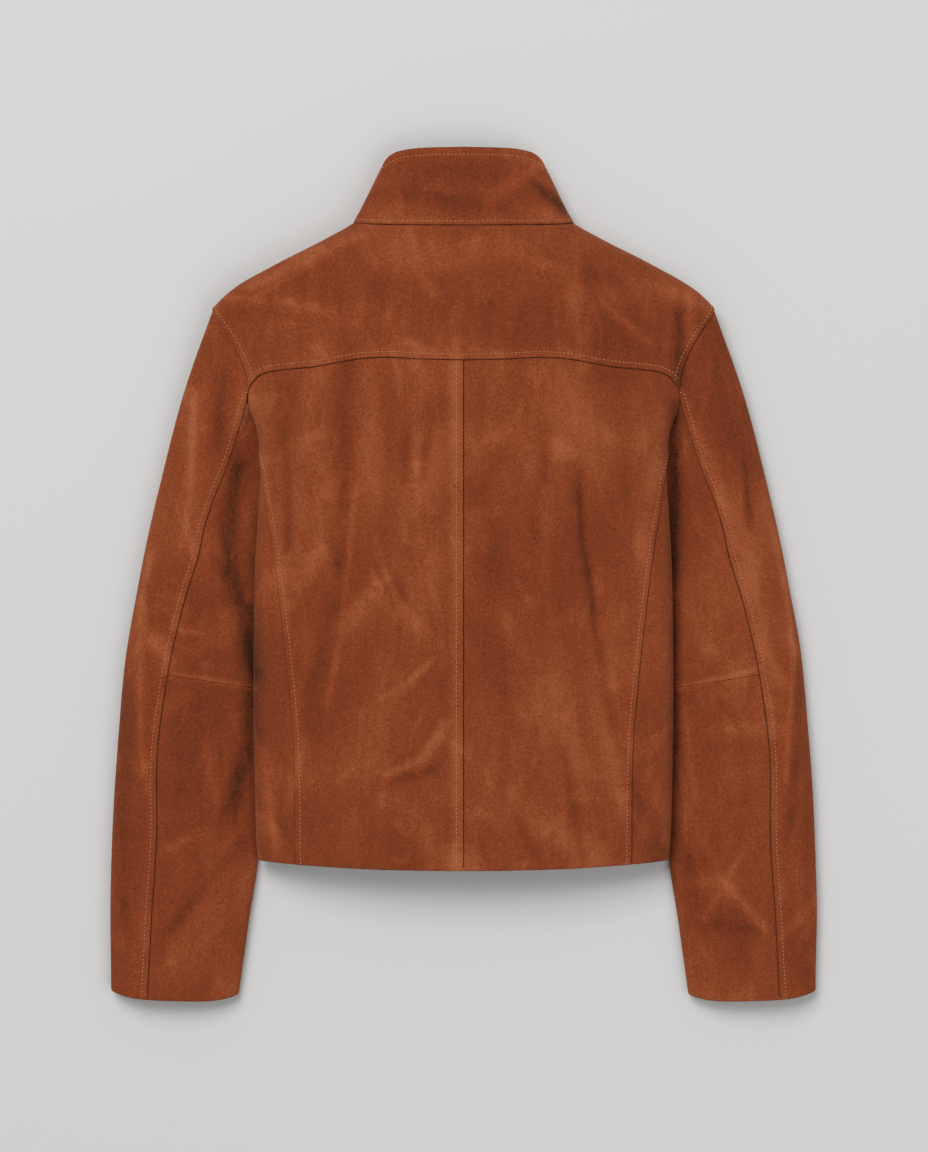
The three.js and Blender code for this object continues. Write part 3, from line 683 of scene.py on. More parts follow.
@dataclass
class Panel:
    """One piece of the jacket: its surface, its four edges and the nodes it stands for."""

    name: str
    surface: Body | Sleeve
    edges: dict[str, Edge]
    nodes: tuple[str, ...] = ()
    slot: str = "suede"
    wall: float = 1.6
    step: float = 3.0
    gap: float = 0.3
    fade: float = 1.0
    # Faint seams, mostly on the left towards the key lamp, have their painted seam shade moved this far
    # out, so it is lighter.
    faintness: float = 0.8
    sewn_fade: float = 6.0
    marks_taper: float = 2.5
    side_slope: float = 0.2
    slope_reach: float = 0.7
    nudge: float = 1e-3

    def rim(self, side: str) -> Array:
        """Gives an edge's points on the surface."""
        return self.surface.points(*self.edges[side].line.T)

    def shares_along(self, side: str) -> Array:
        """Gives each point's share of its edge's length."""
        lengths = running(self.rim(side))
        return lengths / lengths[-1]

    def measures(self, side: str, shares: Array) -> Array:
        """Gives an edge's surface measures at shares of its length, or of its own pace."""
        edge = self.edges[side]
        return sample(shares, self.shares_along(side) if edge.pace is None else edge.pace, edge.line)

    def shares(self, first: str, second: str) -> Array:
        """Gives where the grid's lines lie along two edges, closer together near the ends.

        Args:
            first: one edge.
            second: the edge across from it.

        Returns:
            Shares of length from 0 to 1.
        """
        length = sum(running(self.rim(side))[-1] for side in (first, second)) / 2
        count = max(2, round((length - 2 * NEAR[-1]) / self.step))
        middle = np.linspace(NEAR[-1], length - NEAR[-1], count + 1)[1:-1]
        return np.concatenate([NEAR, middle, length - NEAR[::-1]]) / length

    def grid(self) -> Array:
        """Fills in the surface measures between the four edges.

        Returns:
            Pairs of measures, in rows from low to high.
        """
        s, t = self.shares("low", "high"), self.shares("start", "end")
        low, high = self.measures("low", s)[None], self.measures("high", s)[None]
        start, end = self.measures("start", t)[:, None], self.measures("end", t)[:, None]
        across, up = s[None, :, None], t[:, None, None]
        start_bend = start - between(low[:, :1], high[:, :1], up)
        end_bend = end - between(low[:, -1:], high[:, -1:], up)
        bends = start_bend * (1 - across) ** self.fade, end_bend * across**self.fade
        return between(low, high, up) + bends[0] + bends[1]

    def normals(self, grid: Array) -> Array:
        """Gives the surface's outward normals.

        Args:
            grid: surface measures.

        Returns:
            A normal for each.
        """
        p, q = grid[..., 0], grid[..., 1]
        across = self.surface.points(p + self.nudge, q) - self.surface.points(p - self.nudge, q)
        along = self.surface.points(p, q + self.nudge) - self.surface.points(p, q - self.nudge)
        return unit(np.cross(across, along) * self.surface.hand)

    def away(self, points: Array) -> dict[str, tuple[Array, Array]]:
        """Measures how far each grid point is from each edge, and how far along it.

        Args:
            points: the grid's points.

        Returns:
            The two distances, by side.
        """
        found = {}
        rims = {"start": points[:, 0], "end": points[:, -1], "low": points[0], "high": points[-1]}
        for side, rim in rims.items():
            lengths = running(rim)
            fine = steps(0, lengths[-1], max(2, int(lengths[-1] / 0.5)))
            tree = kdtree.KDTree(len(fine))
            for index, place in enumerate(sample(fine, lengths, rim)):
                tree.insert(place, index)
            tree.balance()
            hits = [tree.find(point)[1:] for point in points.reshape(-1, 3)]
            index, distance = (np.array(column).reshape(points.shape[:2]) for column in zip(*hits))
            found[side] = (distance, fine[index])
        return found

    def shape(self) -> None:
        """Works out the outer and inner grid, with edges worked, waves and puckers."""
        grid = self.grid()
        plain = self.surface.points(grid[..., 0], grid[..., 1])
        self.normal = self.normals(grid)
        self.distances = self.away(plain)
        facing = ease((self.normal[..., 2] + self.side_slope) / self.slope_reach)
        flat = plain.reshape(-1, 3)
        waves = sum(wave.height * wander(flat / wave.pitch + (0, 0, wave.start)) for wave in WAVES)
        waves = waves.reshape(facing.shape) * facing
        height = np.zeros(facing.shape)
        for number, side in enumerate(SIDES):
            away, along = self.distances[side]
            height = height + WORK.height(self.edges[side], away)
            if self.edges[side].finish is not Finish.FOLDED:
                height = height + WORK.puckers(number, away, along) * facing
        self.outer = plain + self.normal * (height + waves)[..., None]
        self.inner = plain + self.normal * (waves - self.wall)[..., None]
        for skin in (self.outer, self.inner):
            self.part(skin)
            skin[..., 2] = np.maximum(skin[..., 2], 0)

    def part(self, points: Array) -> None:
        """Moves a grid's rim inwards by half of the seam gap.

        Args:
            points: the grid, which is changed.
        """
        for grid in (points.swapaxes(0, 1), points):
            for rim, inner in ((0, 1), (-1, -2)):
                into, along = grid[inner] - grid[rim], unit(np.gradient(grid[rim], axis=0))
                grid[rim] += unit(into - along * (into * along).sum(-1, keepdims=True)) * self.gap / 2

    def shade(self, piece: Piece) -> None:
        """Gives both skins their distance from a seam, for its painted shade, their laps, for a painted
        highlight, and the tone strokes of nap and painted light as attributes.

        Args:
            piece: the panel's piece.
        """
        lines, sewn = [], [np.zeros(self.outer.shape[:2])]
        for side, edge in self.edges.items():
            away = self.distances[side][0]
            # Distance from the seam for its painted shade, moved out on faint seams.
            lines.append(away + self.faintness * edge.faint)
            # Lapped strip up to each row of stitches, which the suede lightens as a painted highlight.
            if edge.inset:
                sewn.append(1 - ease((away - edge.inset) / self.sewn_fade))
        # Tone strokes: real nap patches mixed with painted light, painted shade in the dark strokes and
        # painted highlights in the light ones.
        marks = strokes(PAINTED_LIGHT_AND_NAP, self.outer[..., 0], self.outer[..., 1], self.marks_taper)
        nap_and_painted_light = (marks.max(0, initial=0) + marks.min(0, initial=0)) * ease(self.normal[..., 2] / 0.5)
        layers = {"seam": np.minimum.reduce(lines), "lapped": np.maximum.reduce(sewn), "nap_and_painted_light": nap_and_painted_light}
        for name, values in layers.items():
            attribute = piece.data.attributes.new(name, "FLOAT", "POINT")
            attribute.data.foreach_set("value", np.tile(values.ravel(), 2).astype(np.float32))

    def declare(self, piece: Piece) -> None:
        """Hangs the piece under the root and hides the CAD parts that it stands for.

        Args:
            piece: the panel's piece.
        """
        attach(piece, "root")
        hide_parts(*self.nodes or (self.name,))

    def build(self, suede: Material) -> Piece:
        """Makes the panel's piece, a closed shell of suede.

        Args:
            suede: its material.

        Returns:
            The piece, hung under the root.
        """
        self.shape()
        rows, columns = self.outer.shape[:2]
        outer = np.arange(rows * columns).reshape(rows, columns)
        inner = outer + rows * columns
        faces = np.concatenate([
            cells(outer), cells(inner)[:, ::-1],
            ribbon(outer[:, 0], inner[:, 0])[:, ::-1], ribbon(outer[:, -1], inner[:, -1]),
            ribbon(outer[0], inner[0]), ribbon(outer[-1], inner[-1])[:, ::-1],
        ])
        if self.surface.hand < 0:
            faces = faces[:, ::-1]
        points = np.concatenate([self.outer.reshape(-1, 3), self.inner.reshape(-1, 3)])
        piece = mesh_object(f"suede_{self.name}", points, faces.tolist())
        self.shade(piece)
        piece.data.materials.append(suede)
        self.declare(piece)
        return piece

    def row(self, side: str, first: float = 0.0, last: float = 1.0) -> tuple[Array, Array]:
        """Gives the line of a row of stitches at an edge's inset.

        Args:
            side: the edge it follows.
            first: share of the edge's length where it starts.
            last: share where it ends.

        Returns:
            Points on the cloth and the normals there.
        """
        away, both = self.distances[side][0], np.concatenate([self.outer, self.normal], -1)
        if side in ("low", "high"):
            away, both = away.T, both.swapaxes(0, 1)
        if side in ("end", "high"):
            away, both = away[:, ::-1], both[:, ::-1]
        reach = len(NEAR) + 4
        away = np.maximum.accumulate(away[:, :reach], axis=1)
        line = np.array([sample(self.edges[side].inset, *pair) for pair in zip(away, both[:, :reach])])
        count = len(line) - 1
        line = line[round(first * count):round(last * count) + 1]
        return line[:, :3], line[:, 3:]


@dataclass
class Stitches:
    """Rows of short thread stitches, joined in one mesh."""

    name: str
    lines: list[tuple[Array, Array]]
    seed: int
    pitch: float = 3.5
    length: float = 2.1
    radius: float = 0.42
    sides: int = 6
    stand: tuple[float, ...] = (-0.3, 0.22, 0.36, 0.22, -0.3)
    swell: tuple[float, ...] = (0.6, 0.95, 1.0, 0.95, 0.6)
    scatter: float = 0.12
    skew: float = 0.07

    def build(self, thread: Material) -> Piece:
        """Lays the stitches along their lines.

        Args:
            thread: their material.

        Returns:
            The piece.
        """
        rng = np.random.default_rng(self.seed)
        points, faces, offset = [], [], 0
        turn = 2 * math.pi * np.arange(self.sides) / self.sides
        stations = np.linspace(-0.5, 0.5, len(self.stand)) * self.length
        stand, radius = np.array(self.stand), self.radius * np.array(self.swell)
        for line, upright in self.lines:
            lengths = running(line)
            places = np.arange(self.pitch / 2, lengths[-1], self.pitch)
            places = places + rng.uniform(-self.scatter, self.scatter, len(places))
            at, up = sample(places, lengths, line), unit(sample(places, lengths, upright))
            along = unit(sample(places + 1, lengths, line) - sample(places - 1, lengths, line))
            beside = np.cross(along, up)
            along = along + beside * rng.uniform(-self.skew, self.skew, (len(at), 1))
            middle = at[:, None] + along[:, None] * stations[:, None] + up[:, None] * stand[:, None]
            ring = np.cos(turn)[:, None] * beside[:, None, None] + np.sin(turn)[:, None] * up[:, None, None]
            body = middle[:, :, None] + ring * radius[:, None, None]
            body[..., 2] = np.maximum(body[..., 2], 0)
            number = np.arange(body.size // 3).reshape(body.shape[:3]) + offset
            points.append(body.reshape(-1, 3))
            faces += cells(np.concatenate([number, number[..., :1]], -1)).tolist()
            faces += number[:, 0, ::-1].tolist() + number[:, -1].tolist()
            offset += body.size // 3
        piece = mesh_object(self.name, np.concatenate(points), faces)
        piece.data.materials.append(thread)
        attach(piece, "root")
        return piece


# Materials


class Nodes:
    """A material's node tree, with one method for any node."""

    def __init__(self, name: str) -> None:
        """Starts an empty material."""
        self.material = bpy.data.materials.new(name)
        self.material.use_nodes = True
        self.tree = self.material.node_tree
        self.tree.nodes.clear()
        self.place = self.add("TexCoord").outputs["Object"]

    def add(self, kind: str, settings: dict | None = None, **sockets: object) -> bpy.types.Node:
        """Adds a node.

        Args:
            kind: the node's type, without the word in front that all shader nodes share.
            settings: its own settings, set first; stops is a ramp's list of place and colour.
            sockets: values or links of its inputs, by name with _ for a space, or i and a number.

        Returns:
            The node.
        """
        node = self.tree.nodes.new("ShaderNode" + kind)
        for key, value in (settings or {}).items():
            if key != "stops":
                setattr(node, key, value)
                continue
            elements = node.color_ramp.elements
            for number, (place, colour) in enumerate(value):
                element = elements[number] if number < len(elements) else elements.new(1.0)
                element.position, element.color = place, (*colour, 1.0)
        for key, value in sockets.items():
            numbered = key[0] == "i" and key[1:].isdigit()
            socket = node.inputs[int(key[1:]) if numbered else key.replace("_", " ")]
            source = getattr(value, "socket", value)
            if isinstance(source, Socket):
                self.tree.links.new(source, socket)
            else:
                socket.default_value = (*value, 1.0) if socket.type == "RGBA" else value
        return node

    def value(self, kind: str, output: str, settings: dict | None = None, **sockets: object) -> "Value":
        """Adds a node and gives one of its outputs as a value for expressions."""
        return Value(self, self.add(kind, settings, **sockets).outputs[output])

    def noise(self, grain: Grain, place: Socket | None = None) -> "Value":
        """Adds a noise by its grain."""
        return self.value("TexNoise", "Fac", None, Vector=place or self.place, Scale=grain.scale,
                          Detail=grain.detail, Roughness=grain.roughness, Distortion=grain.twist)

    def mix(self, share: object, first: object, second: object) -> Socket:
        """Mixes two colours."""
        return self.add("Mix", {"data_type": "RGBA"}, i0=share, i6=first, i7=second).outputs[2]

    def finish(self, **sockets: object) -> Material:
        """Adds the shader, by its sockets, with the output."""
        self.add("OutputMaterial", None, Surface=self.add("BsdfPrincipled", None, **sockets).outputs[0])
        return self.material


class Value:
    """A number socket that Python's operators work on, each as a Math node."""

    def __init__(self, nodes: Nodes, socket: Socket) -> None:
        """Wraps a socket."""
        self.nodes, self.socket = nodes, socket

    def work(self, operation: str, first: object, second: object, clamp: bool = False) -> "Value":
        """Adds one Math node."""
        settings = {"operation": operation, "use_clamp": clamp}
        return self.nodes.value("Math", "Value", settings, i0=first, i1=second)

    def __add__(self, other: object) -> "Value":
        """Adds."""
        return self.work("ADD", self, other)

    def __sub__(self, other: object) -> "Value":
        """Subtracts."""
        return self.work("SUBTRACT", self, other)

    def __rsub__(self, other: object) -> "Value":
        """Subtracts, reflected."""
        return self.work("SUBTRACT", other, self)

    def __mul__(self, other: object) -> "Value":
        """Multiplies."""
        return self.work("MULTIPLY", self, other)

    def __truediv__(self, other: object) -> "Value":
        """Divides."""
        return self.work("DIVIDE", self, other)

    __radd__, __rmul__ = __add__, __mul__

    def at_least(self, floor: float) -> "Value":
        """Holds the value up to a floor."""
        return self.work("MAXIMUM", self, floor)

    def held(self) -> "Value":
        """Holds the value between 0 and 1."""
        return self.work("ADD", self, 0.0, clamp=True)


@dataclass(frozen=True)
class Suede:
    """Rust brown suede: brushed nap in uneven patches, fine fibres, painted light and shade in its tone
    strokes, painted shade in the seams and a painted highlight on the laps.
    """

    # Tone stops: the deepest is where the strong painted shade strokes fall, and the light stop also
    # carries the painted highlights.
    deep_shade: Colour = (0.040, 0.0085, 0.0028)
    dark: Colour = (0.136, 0.0245, 0.0064)
    base: Colour = (0.232, 0.0432, 0.0112)
    light: Colour = (0.385, 0.1120, 0.0400)
    # Colour of the painted shade in the seam gaps and along every panel edge.
    seam: Colour = (0.050, 0.0090, 0.0028)
    places: tuple[float, ...] = (0.0, 0.28, 0.56, 1.0)
    broad: Grain = Grain(6.5, 2.0, 0.5, 0.6, 0.6)
    cloud: Grain = Grain(22.0, 3.0, 0.5, 1.2, 0.35)
    stroke: Grain = Grain(70.0, 2.0, 0.5, 0.8, 0.22)
    wisp: Grain = Grain(16.0, 6.0, 0.6, 2.2, 0.14)
    ragged: Grain = Grain(60.0, 4.0, 0.6, 1.6, 0.5)
    fleck: Grain = Grain(420.0, 3.0, 0.6, 0.5, 0.5)
    fibre: Grain = Grain(900.0, 2.0, 0.6, 0.0, 0.75)
    middle: float = 0.545
    floor: float = 0.44
    # Weight of the tone strokes, nap mixed with painted shade and painted highlights.
    nap_and_painted_light: float = 0.42
    # Painted highlight on the raised strip between each row of stitches and its edge.
    lapped: float = 0.07
    # Strength of the painted seam shade.
    seam_shade: float = 0.75
    seam_width: float = 1.0
    wisp_gain: float = 8.0
    wisp_level: float = 0.35
    ragged_gain: float = 4.0
    ragged_least: float = 0.72

    def make(self) -> Material:
        """Makes the material.

        Returns:
            The material.
        """
        nodes = Nodes("rust_suede")

        def combed(turn: float, stretch: float) -> Socket:
            """Gives the place drawn out along the nap."""
            return nodes.add("Mapping", None, Vector=nodes.place, Rotation=(0.0, 0.0, turn),
                             Scale=(1.0, stretch, 1.0)).outputs[0]

        def shade(name: str) -> Value:
            """Gives one of the mesh's attributes."""
            return nodes.value("Attribute", "Fac", {"attribute_name": name})

        drawn = combed(0.0, 0.45)
        broad, cloud = nodes.noise(self.broad) - 0.5, nodes.noise(self.cloud, drawn) - 0.5
        stroke = nodes.noise(self.stroke, combed(0.12, 0.2)) - 0.5
        wisp = nodes.noise(self.wisp, combed(0.6, 0.6)) - 0.5
        wisp = (wisp * self.wisp_gain - self.wisp_level).held()
        ragged = ((nodes.noise(self.ragged, drawn) - 0.5) * self.ragged_gain + 0.5).held()
        ragged = self.ragged_least + self.ragged.share * ragged
        fleck, fibre = nodes.noise(self.fleck) - 0.5, nodes.noise(self.fibre) - 0.5
        patches = self.middle + self.broad.share * broad + self.cloud.share * cloud
        patches = (patches + self.stroke.share * stroke).at_least(self.floor) + self.wisp.share * wisp
        grain = self.fleck.share * fleck + self.fibre.share * fibre
        # Tone strokes, nap with painted shade and painted highlights, plus the painted highlight on the
        # laps.
        painted_and_nap_tone = self.nap_and_painted_light * shade("nap_and_painted_light") * ragged + self.lapped * shade("lapped")
        stops = list(zip(self.places, (self.deep_shade, self.dark, self.base, self.light)))
        tone = (patches + grain + painted_and_nap_tone).held()
        colour = nodes.add("ValToRGB", {"stops": stops}, Fac=tone).outputs["Color"]
        # Painted shade: the suede darkens towards the seam colour within a seam width of every panel edge.
        seam_shade = (1.0 - shade("seam") / self.seam_width).held() * self.seam_shade
        bump = nodes.add("Bump", None, Strength=0.55, Distance=0.001, Height=fibre * 0.5 + fleck * 0.6)
        return nodes.finish(Base_Color=nodes.mix(seam_shade, colour, self.seam), Roughness=0.95,
                            Specular_IOR_Level=0.15, Sheen_Weight=0.22, Sheen_Roughness=0.6,
                            Sheen_Tint=(0.90, 0.48, 0.26), Normal=bump.outputs[0])


@dataclass(frozen=True)
class Thread:
    """Matt sewing thread, a shade lighter than the suede."""

    dark: Colour = (0.42, 0.155, 0.064)
    light: Colour = (0.56, 0.230, 0.102)
    ply: Grain = Grain(1400.0)

    def make(self) -> Material:
        """Makes the material.

        Returns:
            The material.
        """
        nodes = Nodes("tan_thread")
        ply = nodes.noise(self.ply)
        bump = nodes.add("Bump", None, Strength=0.3, Distance=0.0002, Height=ply)
        return nodes.finish(Base_Color=nodes.mix(ply, self.dark, self.light), Roughness=0.8,
                            Normal=bump.outputs[0])


@dataclass(frozen=True)
class StudMetal:
    """Dull metal of the press studs, with fine wear."""

    dark: Colour = (0.34, 0.27, 0.17)
    worn: Colour = (0.5, 0.42, 0.3)
    wear: Grain = Grain(700.0, 4.0)

    def make(self) -> Material:
        """Makes the material.

        Returns:
            The material.
        """
        nodes = Nodes("stud_metal")
        wear = nodes.noise(self.wear)
        return nodes.finish(Base_Color=nodes.mix(wear, self.dark, self.worn), Metallic=1.0,
                            Roughness=0.3 + wear * 0.2)


@dataclass(frozen=True)
class Backdrop:
    """Plain pale paper of the floor."""

    colour: Colour = (0.66, 0.66, 0.655)

    def make(self) -> Material:
        """Makes the material."""
        return Nodes("pale_paper").finish(Base_Color=self.colour, Roughness=1.0, Specular_IOR_Level=0.0)


# Sub-assemblies


@dataclass
class Sewn:
    """A sub-assembly sewn from panels of suede."""

    suede: Material
    thread: Material

    def sew(self, name: str, panels: Sequence[Panel], rows: Sequence[tuple], seed: int) -> list:
        """Builds panels, then the rows of stitches on them.

        Args:
            name: the stitches' name.
            panels: the panels.
            rows: a row's panel and side, and the shares of the edge where it starts and ends.
            seed: the stitches' seed.

        Returns:
            The pieces.
        """
        pieces = [panel.build(self.suede) for panel in panels]
        lines = [panel.row(*place) for panel, *place in rows]
        return [*pieces, Stitches(name, lines, seed).build(self.thread)]


@dataclass
class Trunk(Sewn):
    """The body of the jacket: yoke, back, side and front panels."""

    yoke_inset: float = 4.8
    armhole_inset: float = 4.8
    back_inset: float = 6.2
    side_inset: float = 4.5
    yoke_row: tuple[float, float] = (0.02, 0.98)
    armhole_row: tuple[float, float] = (0.02, 0.44)
    side_row: tuple[float, float] = (0.0, 0.85)
    hidden_step: float = 6.0
    armhole_share: float = 6 / 11
    seed: int = 11

    def shoulder_seam(self) -> Array:
        """Gives the shoulder seam from the armhole to the neck."""
        return pairs(AT.shoulder_turn, steps(armhole(AT.shoulder)[1], NECK(AT.shoulder_turn)))

    def side_back(self) -> Array:
        """Gives the side-back seam from the hem up to the armhole."""
        y = steps(Body().hem(AT.side_back_hem_turn), armhole(AT.side_back)[1], 240)
        return pairs(SIDE_BACK(y), y)

    def side_front(self) -> Array:
        """Gives the side-front seam from the hem up to the armhole."""
        turn, y = armhole(AT.side_front)
        return pairs(steps(AT.side_front_hem_turn, turn), steps(Body().hem(AT.side_front_hem_turn), y))

    def hem(self, first: float, last: float) -> Array:
        """Gives a stretch of the hem."""
        turns = steps(first, last)
        return pairs(turns, Body().hem(turns))

    def armhole(self, first: float, last: float) -> Array:
        """Gives a stretch of the armhole seam."""
        return pairs(*armhole(steps(first, last)))

    def yoke(self) -> Panel:
        """Gives the back yoke, in one piece from shoulder to shoulder.

        Returns:
            The panel.
        """
        end = np.concatenate([self.armhole(AT.yoke, AT.shoulder), self.shoulder_seam()])
        pace = np.concatenate([steps(0, self.armhole_share), steps(self.armhole_share, 1)])
        low, high = (steps(-turn, turn, 240) for turn in (AT.yoke_turn, AT.shoulder_turn))
        return Panel("yoke", Body(), {
            "low": Edge(pairs(low, YOKE(np.abs(low))), Finish.STITCHED, self.yoke_inset),
            "high": Edge(pairs(high, NECK(np.abs(high)))),
            "start": Edge(end * (-1, 1), Finish.STITCHED, self.armhole_inset, pace, faint=True),
            "end": Edge(end, Finish.STITCHED, self.armhole_inset, pace),
        }, fade=4.0)

    def back(self, name: str) -> Panel:
        """Gives a back panel, the left one lapped over the right.

        Args:
            name: left or right.

        Returns:
            The panel.
        """
        end = np.concatenate([self.side_back(), self.armhole(AT.side_back, AT.yoke)])
        centre, high = pairs(0.0, steps(Body().hem(0.0), YOKE(0.0))), steps(0, AT.yoke_turn)
        lapped = name == "left"
        return Panel(f"back_{name}", Body(HANDS[name]), {
            "low": Edge(self.hem(0, end[0, 0]), Finish.FOLDED),
            "high": Edge(pairs(high, YOKE(high))),
            "start": Edge(centre, Finish.STITCHED, self.back_inset) if lapped else Edge(centre),
            "end": Edge(end, Finish.STITCHED, self.side_inset, faint=lapped),
        })

    def side(self, name: str) -> Panel:
        """Gives a side panel, which turns under the side edge."""
        return Panel(f"side_{name}", Body(HANDS[name]), {
            "low": Edge(self.hem(AT.side_back_hem_turn, AT.side_front_hem_turn), Finish.FOLDED),
            "high": Edge(self.armhole(AT.side_back, AT.side_front)),
            "start": Edge(self.side_back(), faint=name == "left"), "end": Edge(self.side_front()),
        })

    def front(self, name: str) -> Panel:
        """Gives a front panel on the underside.

        Args:
            name: left or right.

        Returns:
            The panel.
        """
        around = self.armhole(AT.side_front, AT.shoulder + AT.once_round - 1e-6)
        start = np.concatenate([self.side_front(), around, self.shoulder_seam()])
        y = steps(Body().hem(AT.front_turn), NECK(AT.front_turn))
        end = pairs(Body().front_edge(y), y)
        turns = steps(AT.shoulder_turn, end[-1, 0])
        high, low = pairs(turns, NECK(turns)), self.hem(AT.side_front_hem_turn, end[0, 0])
        high[-1], low[-1] = end[-1], end[0]
        edges = {"low": Edge(low, Finish.FOLDED), "high": Edge(high), "start": Edge(start),
                 "end": Edge(end, Finish.FOLDED)}
        return Panel(f"front_{name}", Body(HANDS[name]), edges, step=self.hidden_step)

    def build(self) -> list[Piece]:
        """Builds and dresses the panels and their rows of stitches.

        Returns:
            The pieces.
        """
        yoke, left, right = self.yoke(), self.back("left"), self.back("right")
        panels = (yoke, left, right, *map(self.side, HANDS), *map(self.front, HANDS))
        rows = [(yoke, "low", *self.yoke_row), (left, "start")]
        rows += [(yoke, side, *self.armhole_row) for side in ("start", "end")]
        rows += [(back, "end", *self.side_row) for back in (left, right)]
        return self.sew("stitches_body", panels, rows, self.seed)


@dataclass
class Neck(Sewn):
    """The stand collar, one band whose ends overlap at the centre front."""

    base_inset: float = 3.5
    top_inset: float = 7.0
    wall: float = 3.0
    step: float = 2.5
    seed: int = 12

    def build(self) -> list[Piece]:
        """Builds and dresses the collar and its two rows of stitches.

        Returns:
            The pieces.
        """
        last = Body().front_edge(NECK(AT.front_turn))
        turns, heights = steps(-last, last, 400), steps(0, 1)
        panel = Panel("collar", Collar(), {
            "low": Edge(pairs(turns, 0.0), Finish.STITCHED, self.base_inset),
            "high": Edge(pairs(turns, 1.0), Finish.FOLDED, self.top_inset),
            "start": Edge(pairs(-last, heights), Finish.FOLDED),
            "end": Edge(pairs(last, heights), Finish.FOLDED),
        }, slot="suede_collar", wall=self.wall, step=self.step)
        panel.edges["high"].pace = panel.shares_along("low")
        return self.sew("stitches_collar", [panel], [(panel, "low"), (panel, "high")], self.seed)


@dataclass
class Arm(Sewn):
    """One sleeve: the upper piece, and the under piece in two parts with a seam at the elbow."""

    name: str
    seam_inset: float = 5.0
    seed: int = 13

    def seam_place(self, s: Array) -> Array:
        """Gives the back seam's place round the tube."""
        place = np.arccos(1 - 2 * SLEEVE_CURVES["seam"](s)) / math.pi
        return np.where(s == 0, AT.sleeve_seam, place)

    def upper(self) -> Panel:
        """Gives the upper piece, from the front seam round the outer edge to the back seam.

        Returns:
            The panel.
        """
        first, s = AT.side_front - AT.once_round, steps(0, 1, 300)
        places = self.seam_place(s)
        return Panel(f"upper_sleeve_{self.name}", Sleeve(HANDS[self.name]), {
            "low": Edge(pairs(steps(first, AT.sleeve_seam), 0.0), faint=self.name == "left"),
            "high": Edge(pairs(steps(first, places[-1]), 1.0), Finish.FOLDED),
            "start": Edge(pairs(first, s)), "end": Edge(pairs(places, s), Finish.STITCHED, self.seam_inset),
        }, tuple(f"upper_sleeve_{part}_{self.name}" for part in ("front", "back")))

    def under(self, part: str, first: float, last: float, foot: Finish) -> Panel:
        """Gives one part of the under piece.

        Args:
            part: top or low.
            first: share of the sleeve's length where it starts.
            last: share where it ends.
            foot: how its lower edge is worked.

        Returns:
            The panel.
        """
        s = steps(first, last, 200)
        places = self.seam_place(s)
        return Panel(f"under_sleeve_{part}_{self.name}", Sleeve(HANDS[self.name]), {
            "low": Edge(pairs(steps(places[0], AT.side_front), first), faint=part == "low"),
            "high": Edge(pairs(steps(places[-1], AT.side_front), last), foot, faint=part == "top"),
            "start": Edge(pairs(places, s)), "end": Edge(pairs(AT.side_front, s)),
        })

    def build(self) -> list[Piece]:
        """Builds and dresses the sleeve and the row of stitches along its back seam.

        Returns:
            The pieces.
        """
        panels = (self.upper(), self.under("top", 0, AT.elbow, Finish.TUCKED),
                  self.under("low", AT.elbow, 1, Finish.FOLDED))
        seed = self.seed + HANDS[self.name]
        return self.sew(f"stitches_sleeve_{self.name}", panels, [(panels[0], "end")], seed)


@dataclass
class PressStuds:
    """Concealed press studs in the front overlap: a disc with a rounded rim and a raised centre."""

    metal: Material
    profile: tuple[tuple[float, float], ...] = ((5.4, 0.0), (5.9, 0.2), (6.0, 0.65), (5.9, 1.1), (5.4, 1.3),
                                                (2.6, 1.3), (2.2, 1.0))
    sides: int = 40

    def build(self) -> list[Piece]:
        """Builds a stud in each stud node's place.

        Returns:
            The studs.
        """
        turn = 2 * math.pi * np.arange(self.sides) / self.sides
        ring = np.stack([np.cos(turn), np.sin(turn), np.zeros(self.sides)], -1)
        points = np.concatenate([ring * (radius, radius, 1) + (0, 0, z) for radius, z in self.profile])
        number = np.arange(len(points)).reshape(-1, self.sides)
        faces = cells(np.concatenate([number, number[:, :1]], 1)).tolist()
        faces += [number[0, ::-1].tolist(), number[-1].tolist()]
        studs = []
        for name in sorted(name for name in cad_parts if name.startswith("stud_")):
            low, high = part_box(name)
            middle = (low + high) / 2 / MM
            piece = mesh_object(f"press_{name}", points + (middle.x, middle.y, low.z / MM), faces)
            piece.data.materials.append(self.metal)
            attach(piece, "root")
            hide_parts(name)
            studs.append(piece)
        return studs


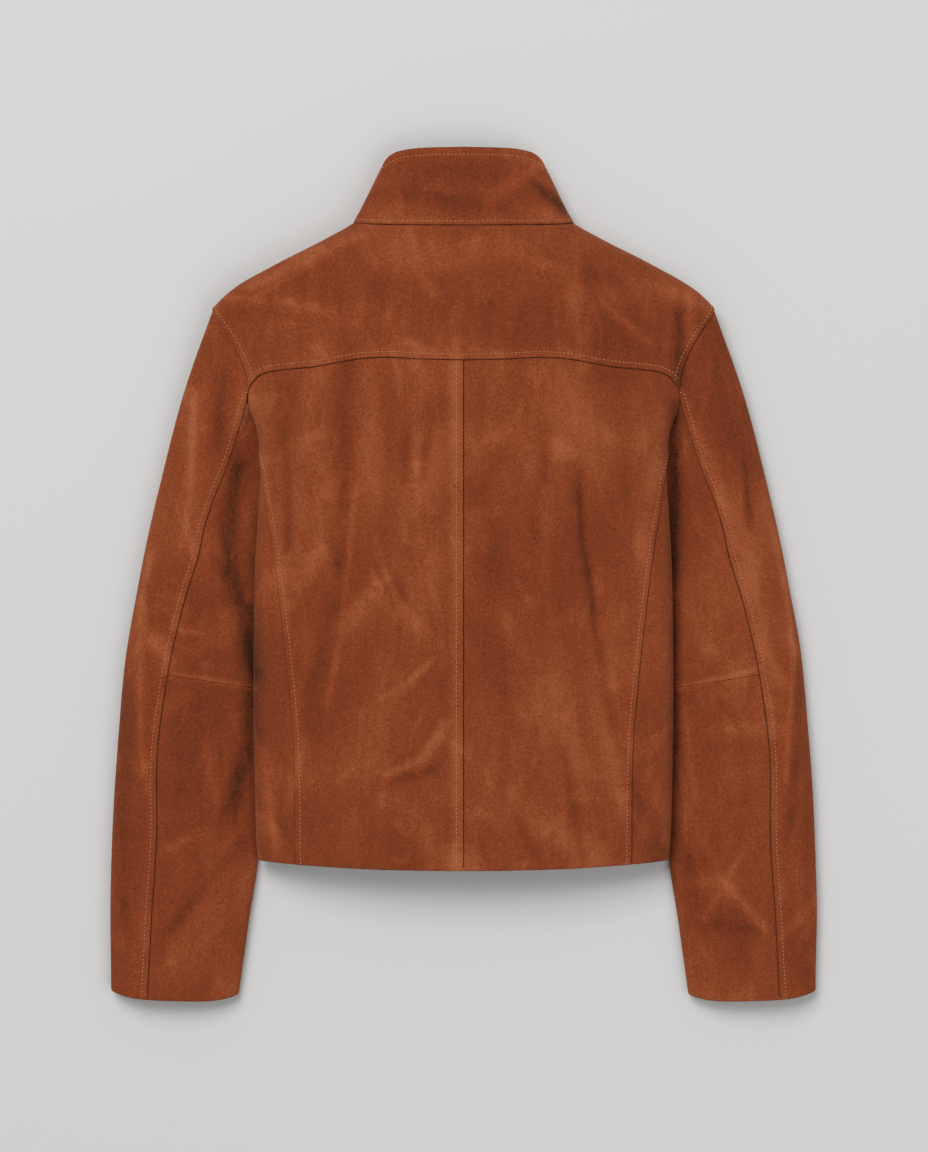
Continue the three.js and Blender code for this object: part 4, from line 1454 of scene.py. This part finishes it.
@dataclass
class Studio:
    """Pale floor, soft light from the upper left and a camera straight above."""

    pixel: float = 0.8736
    photo: tuple[int, int] = (928, 1152)
    centre: tuple[float, float] = (0.4, -0.9)
    height: float = 2600.0
    plane: float = 15.0
    sensor: float = 36.0
    floor: float = 3000.0
    floor_drop: float = -0.3
    world: float = 0.40
    lamps: tuple[Lamp, ...] = (Lamp("key", (-2080, 3840, 4960), 4160, 300),
                               Lamp("fill", (1900, -1500, 2600), 2600, 26))

    def build(self) -> None:
        """Sets the floor, lights, world and camera."""
        corners = np.array([(-1, -1, 0), (1, -1, 0), (1, 1, 0), (-1, 1, 0)]) * self.floor
        ground = mesh_object("floor", corners + (0, 0, self.floor_drop), [[0, 1, 2, 3]])
        ground.data.materials.append(Backdrop().make())
        for lamp in self.lamps:
            light = bpy.data.lights.new(lamp.name, "AREA")
            light.size, light.energy = lamp.size * MM, lamp.power
            hung = hang(light, lamp.place)
            hung.rotation_euler = (-hung.location).to_track_quat("-Z", "Y").to_euler()
        world = bpy.data.worlds.new("studio")
        world.use_nodes = True
        sky = world.node_tree.nodes["Background"].inputs
        sky[0].default_value, sky[1].default_value = (1.0, 1.0, 1.0, 1.0), self.world
        scene = bpy.context.scene
        scene.world = world
        scene.view_settings.view_transform = "Standard"
        camera = bpy.data.cameras.new("camera")
        camera.sensor_fit = "AUTO"
        camera.sensor_width = self.sensor
        camera.lens = self.sensor * (self.height - self.plane) / (self.photo[1] * self.pixel)
        camera.clip_end = 20
        scene.camera = hang(camera, (*self.centre, self.height))


def main() -> None:
    """Builds the jacket's sub-assemblies in order, reports each piece, and sets up the studio."""
    logging.basicConfig(level=logging.INFO, format="%(name)s: %(message)s")
    cloth = (Suede().make(), Thread().make())
    arms = [Arm(*cloth, name) for name in HANDS]
    for part in (Trunk(*cloth), Neck(*cloth), *arms, PressStuds(StudMetal().make())):
        for piece in part.build():
            log.info("%s: %d faces", piece.name, len(piece.data.polygons))
    Studio().build()


if __name__ == "__main__":
    main()
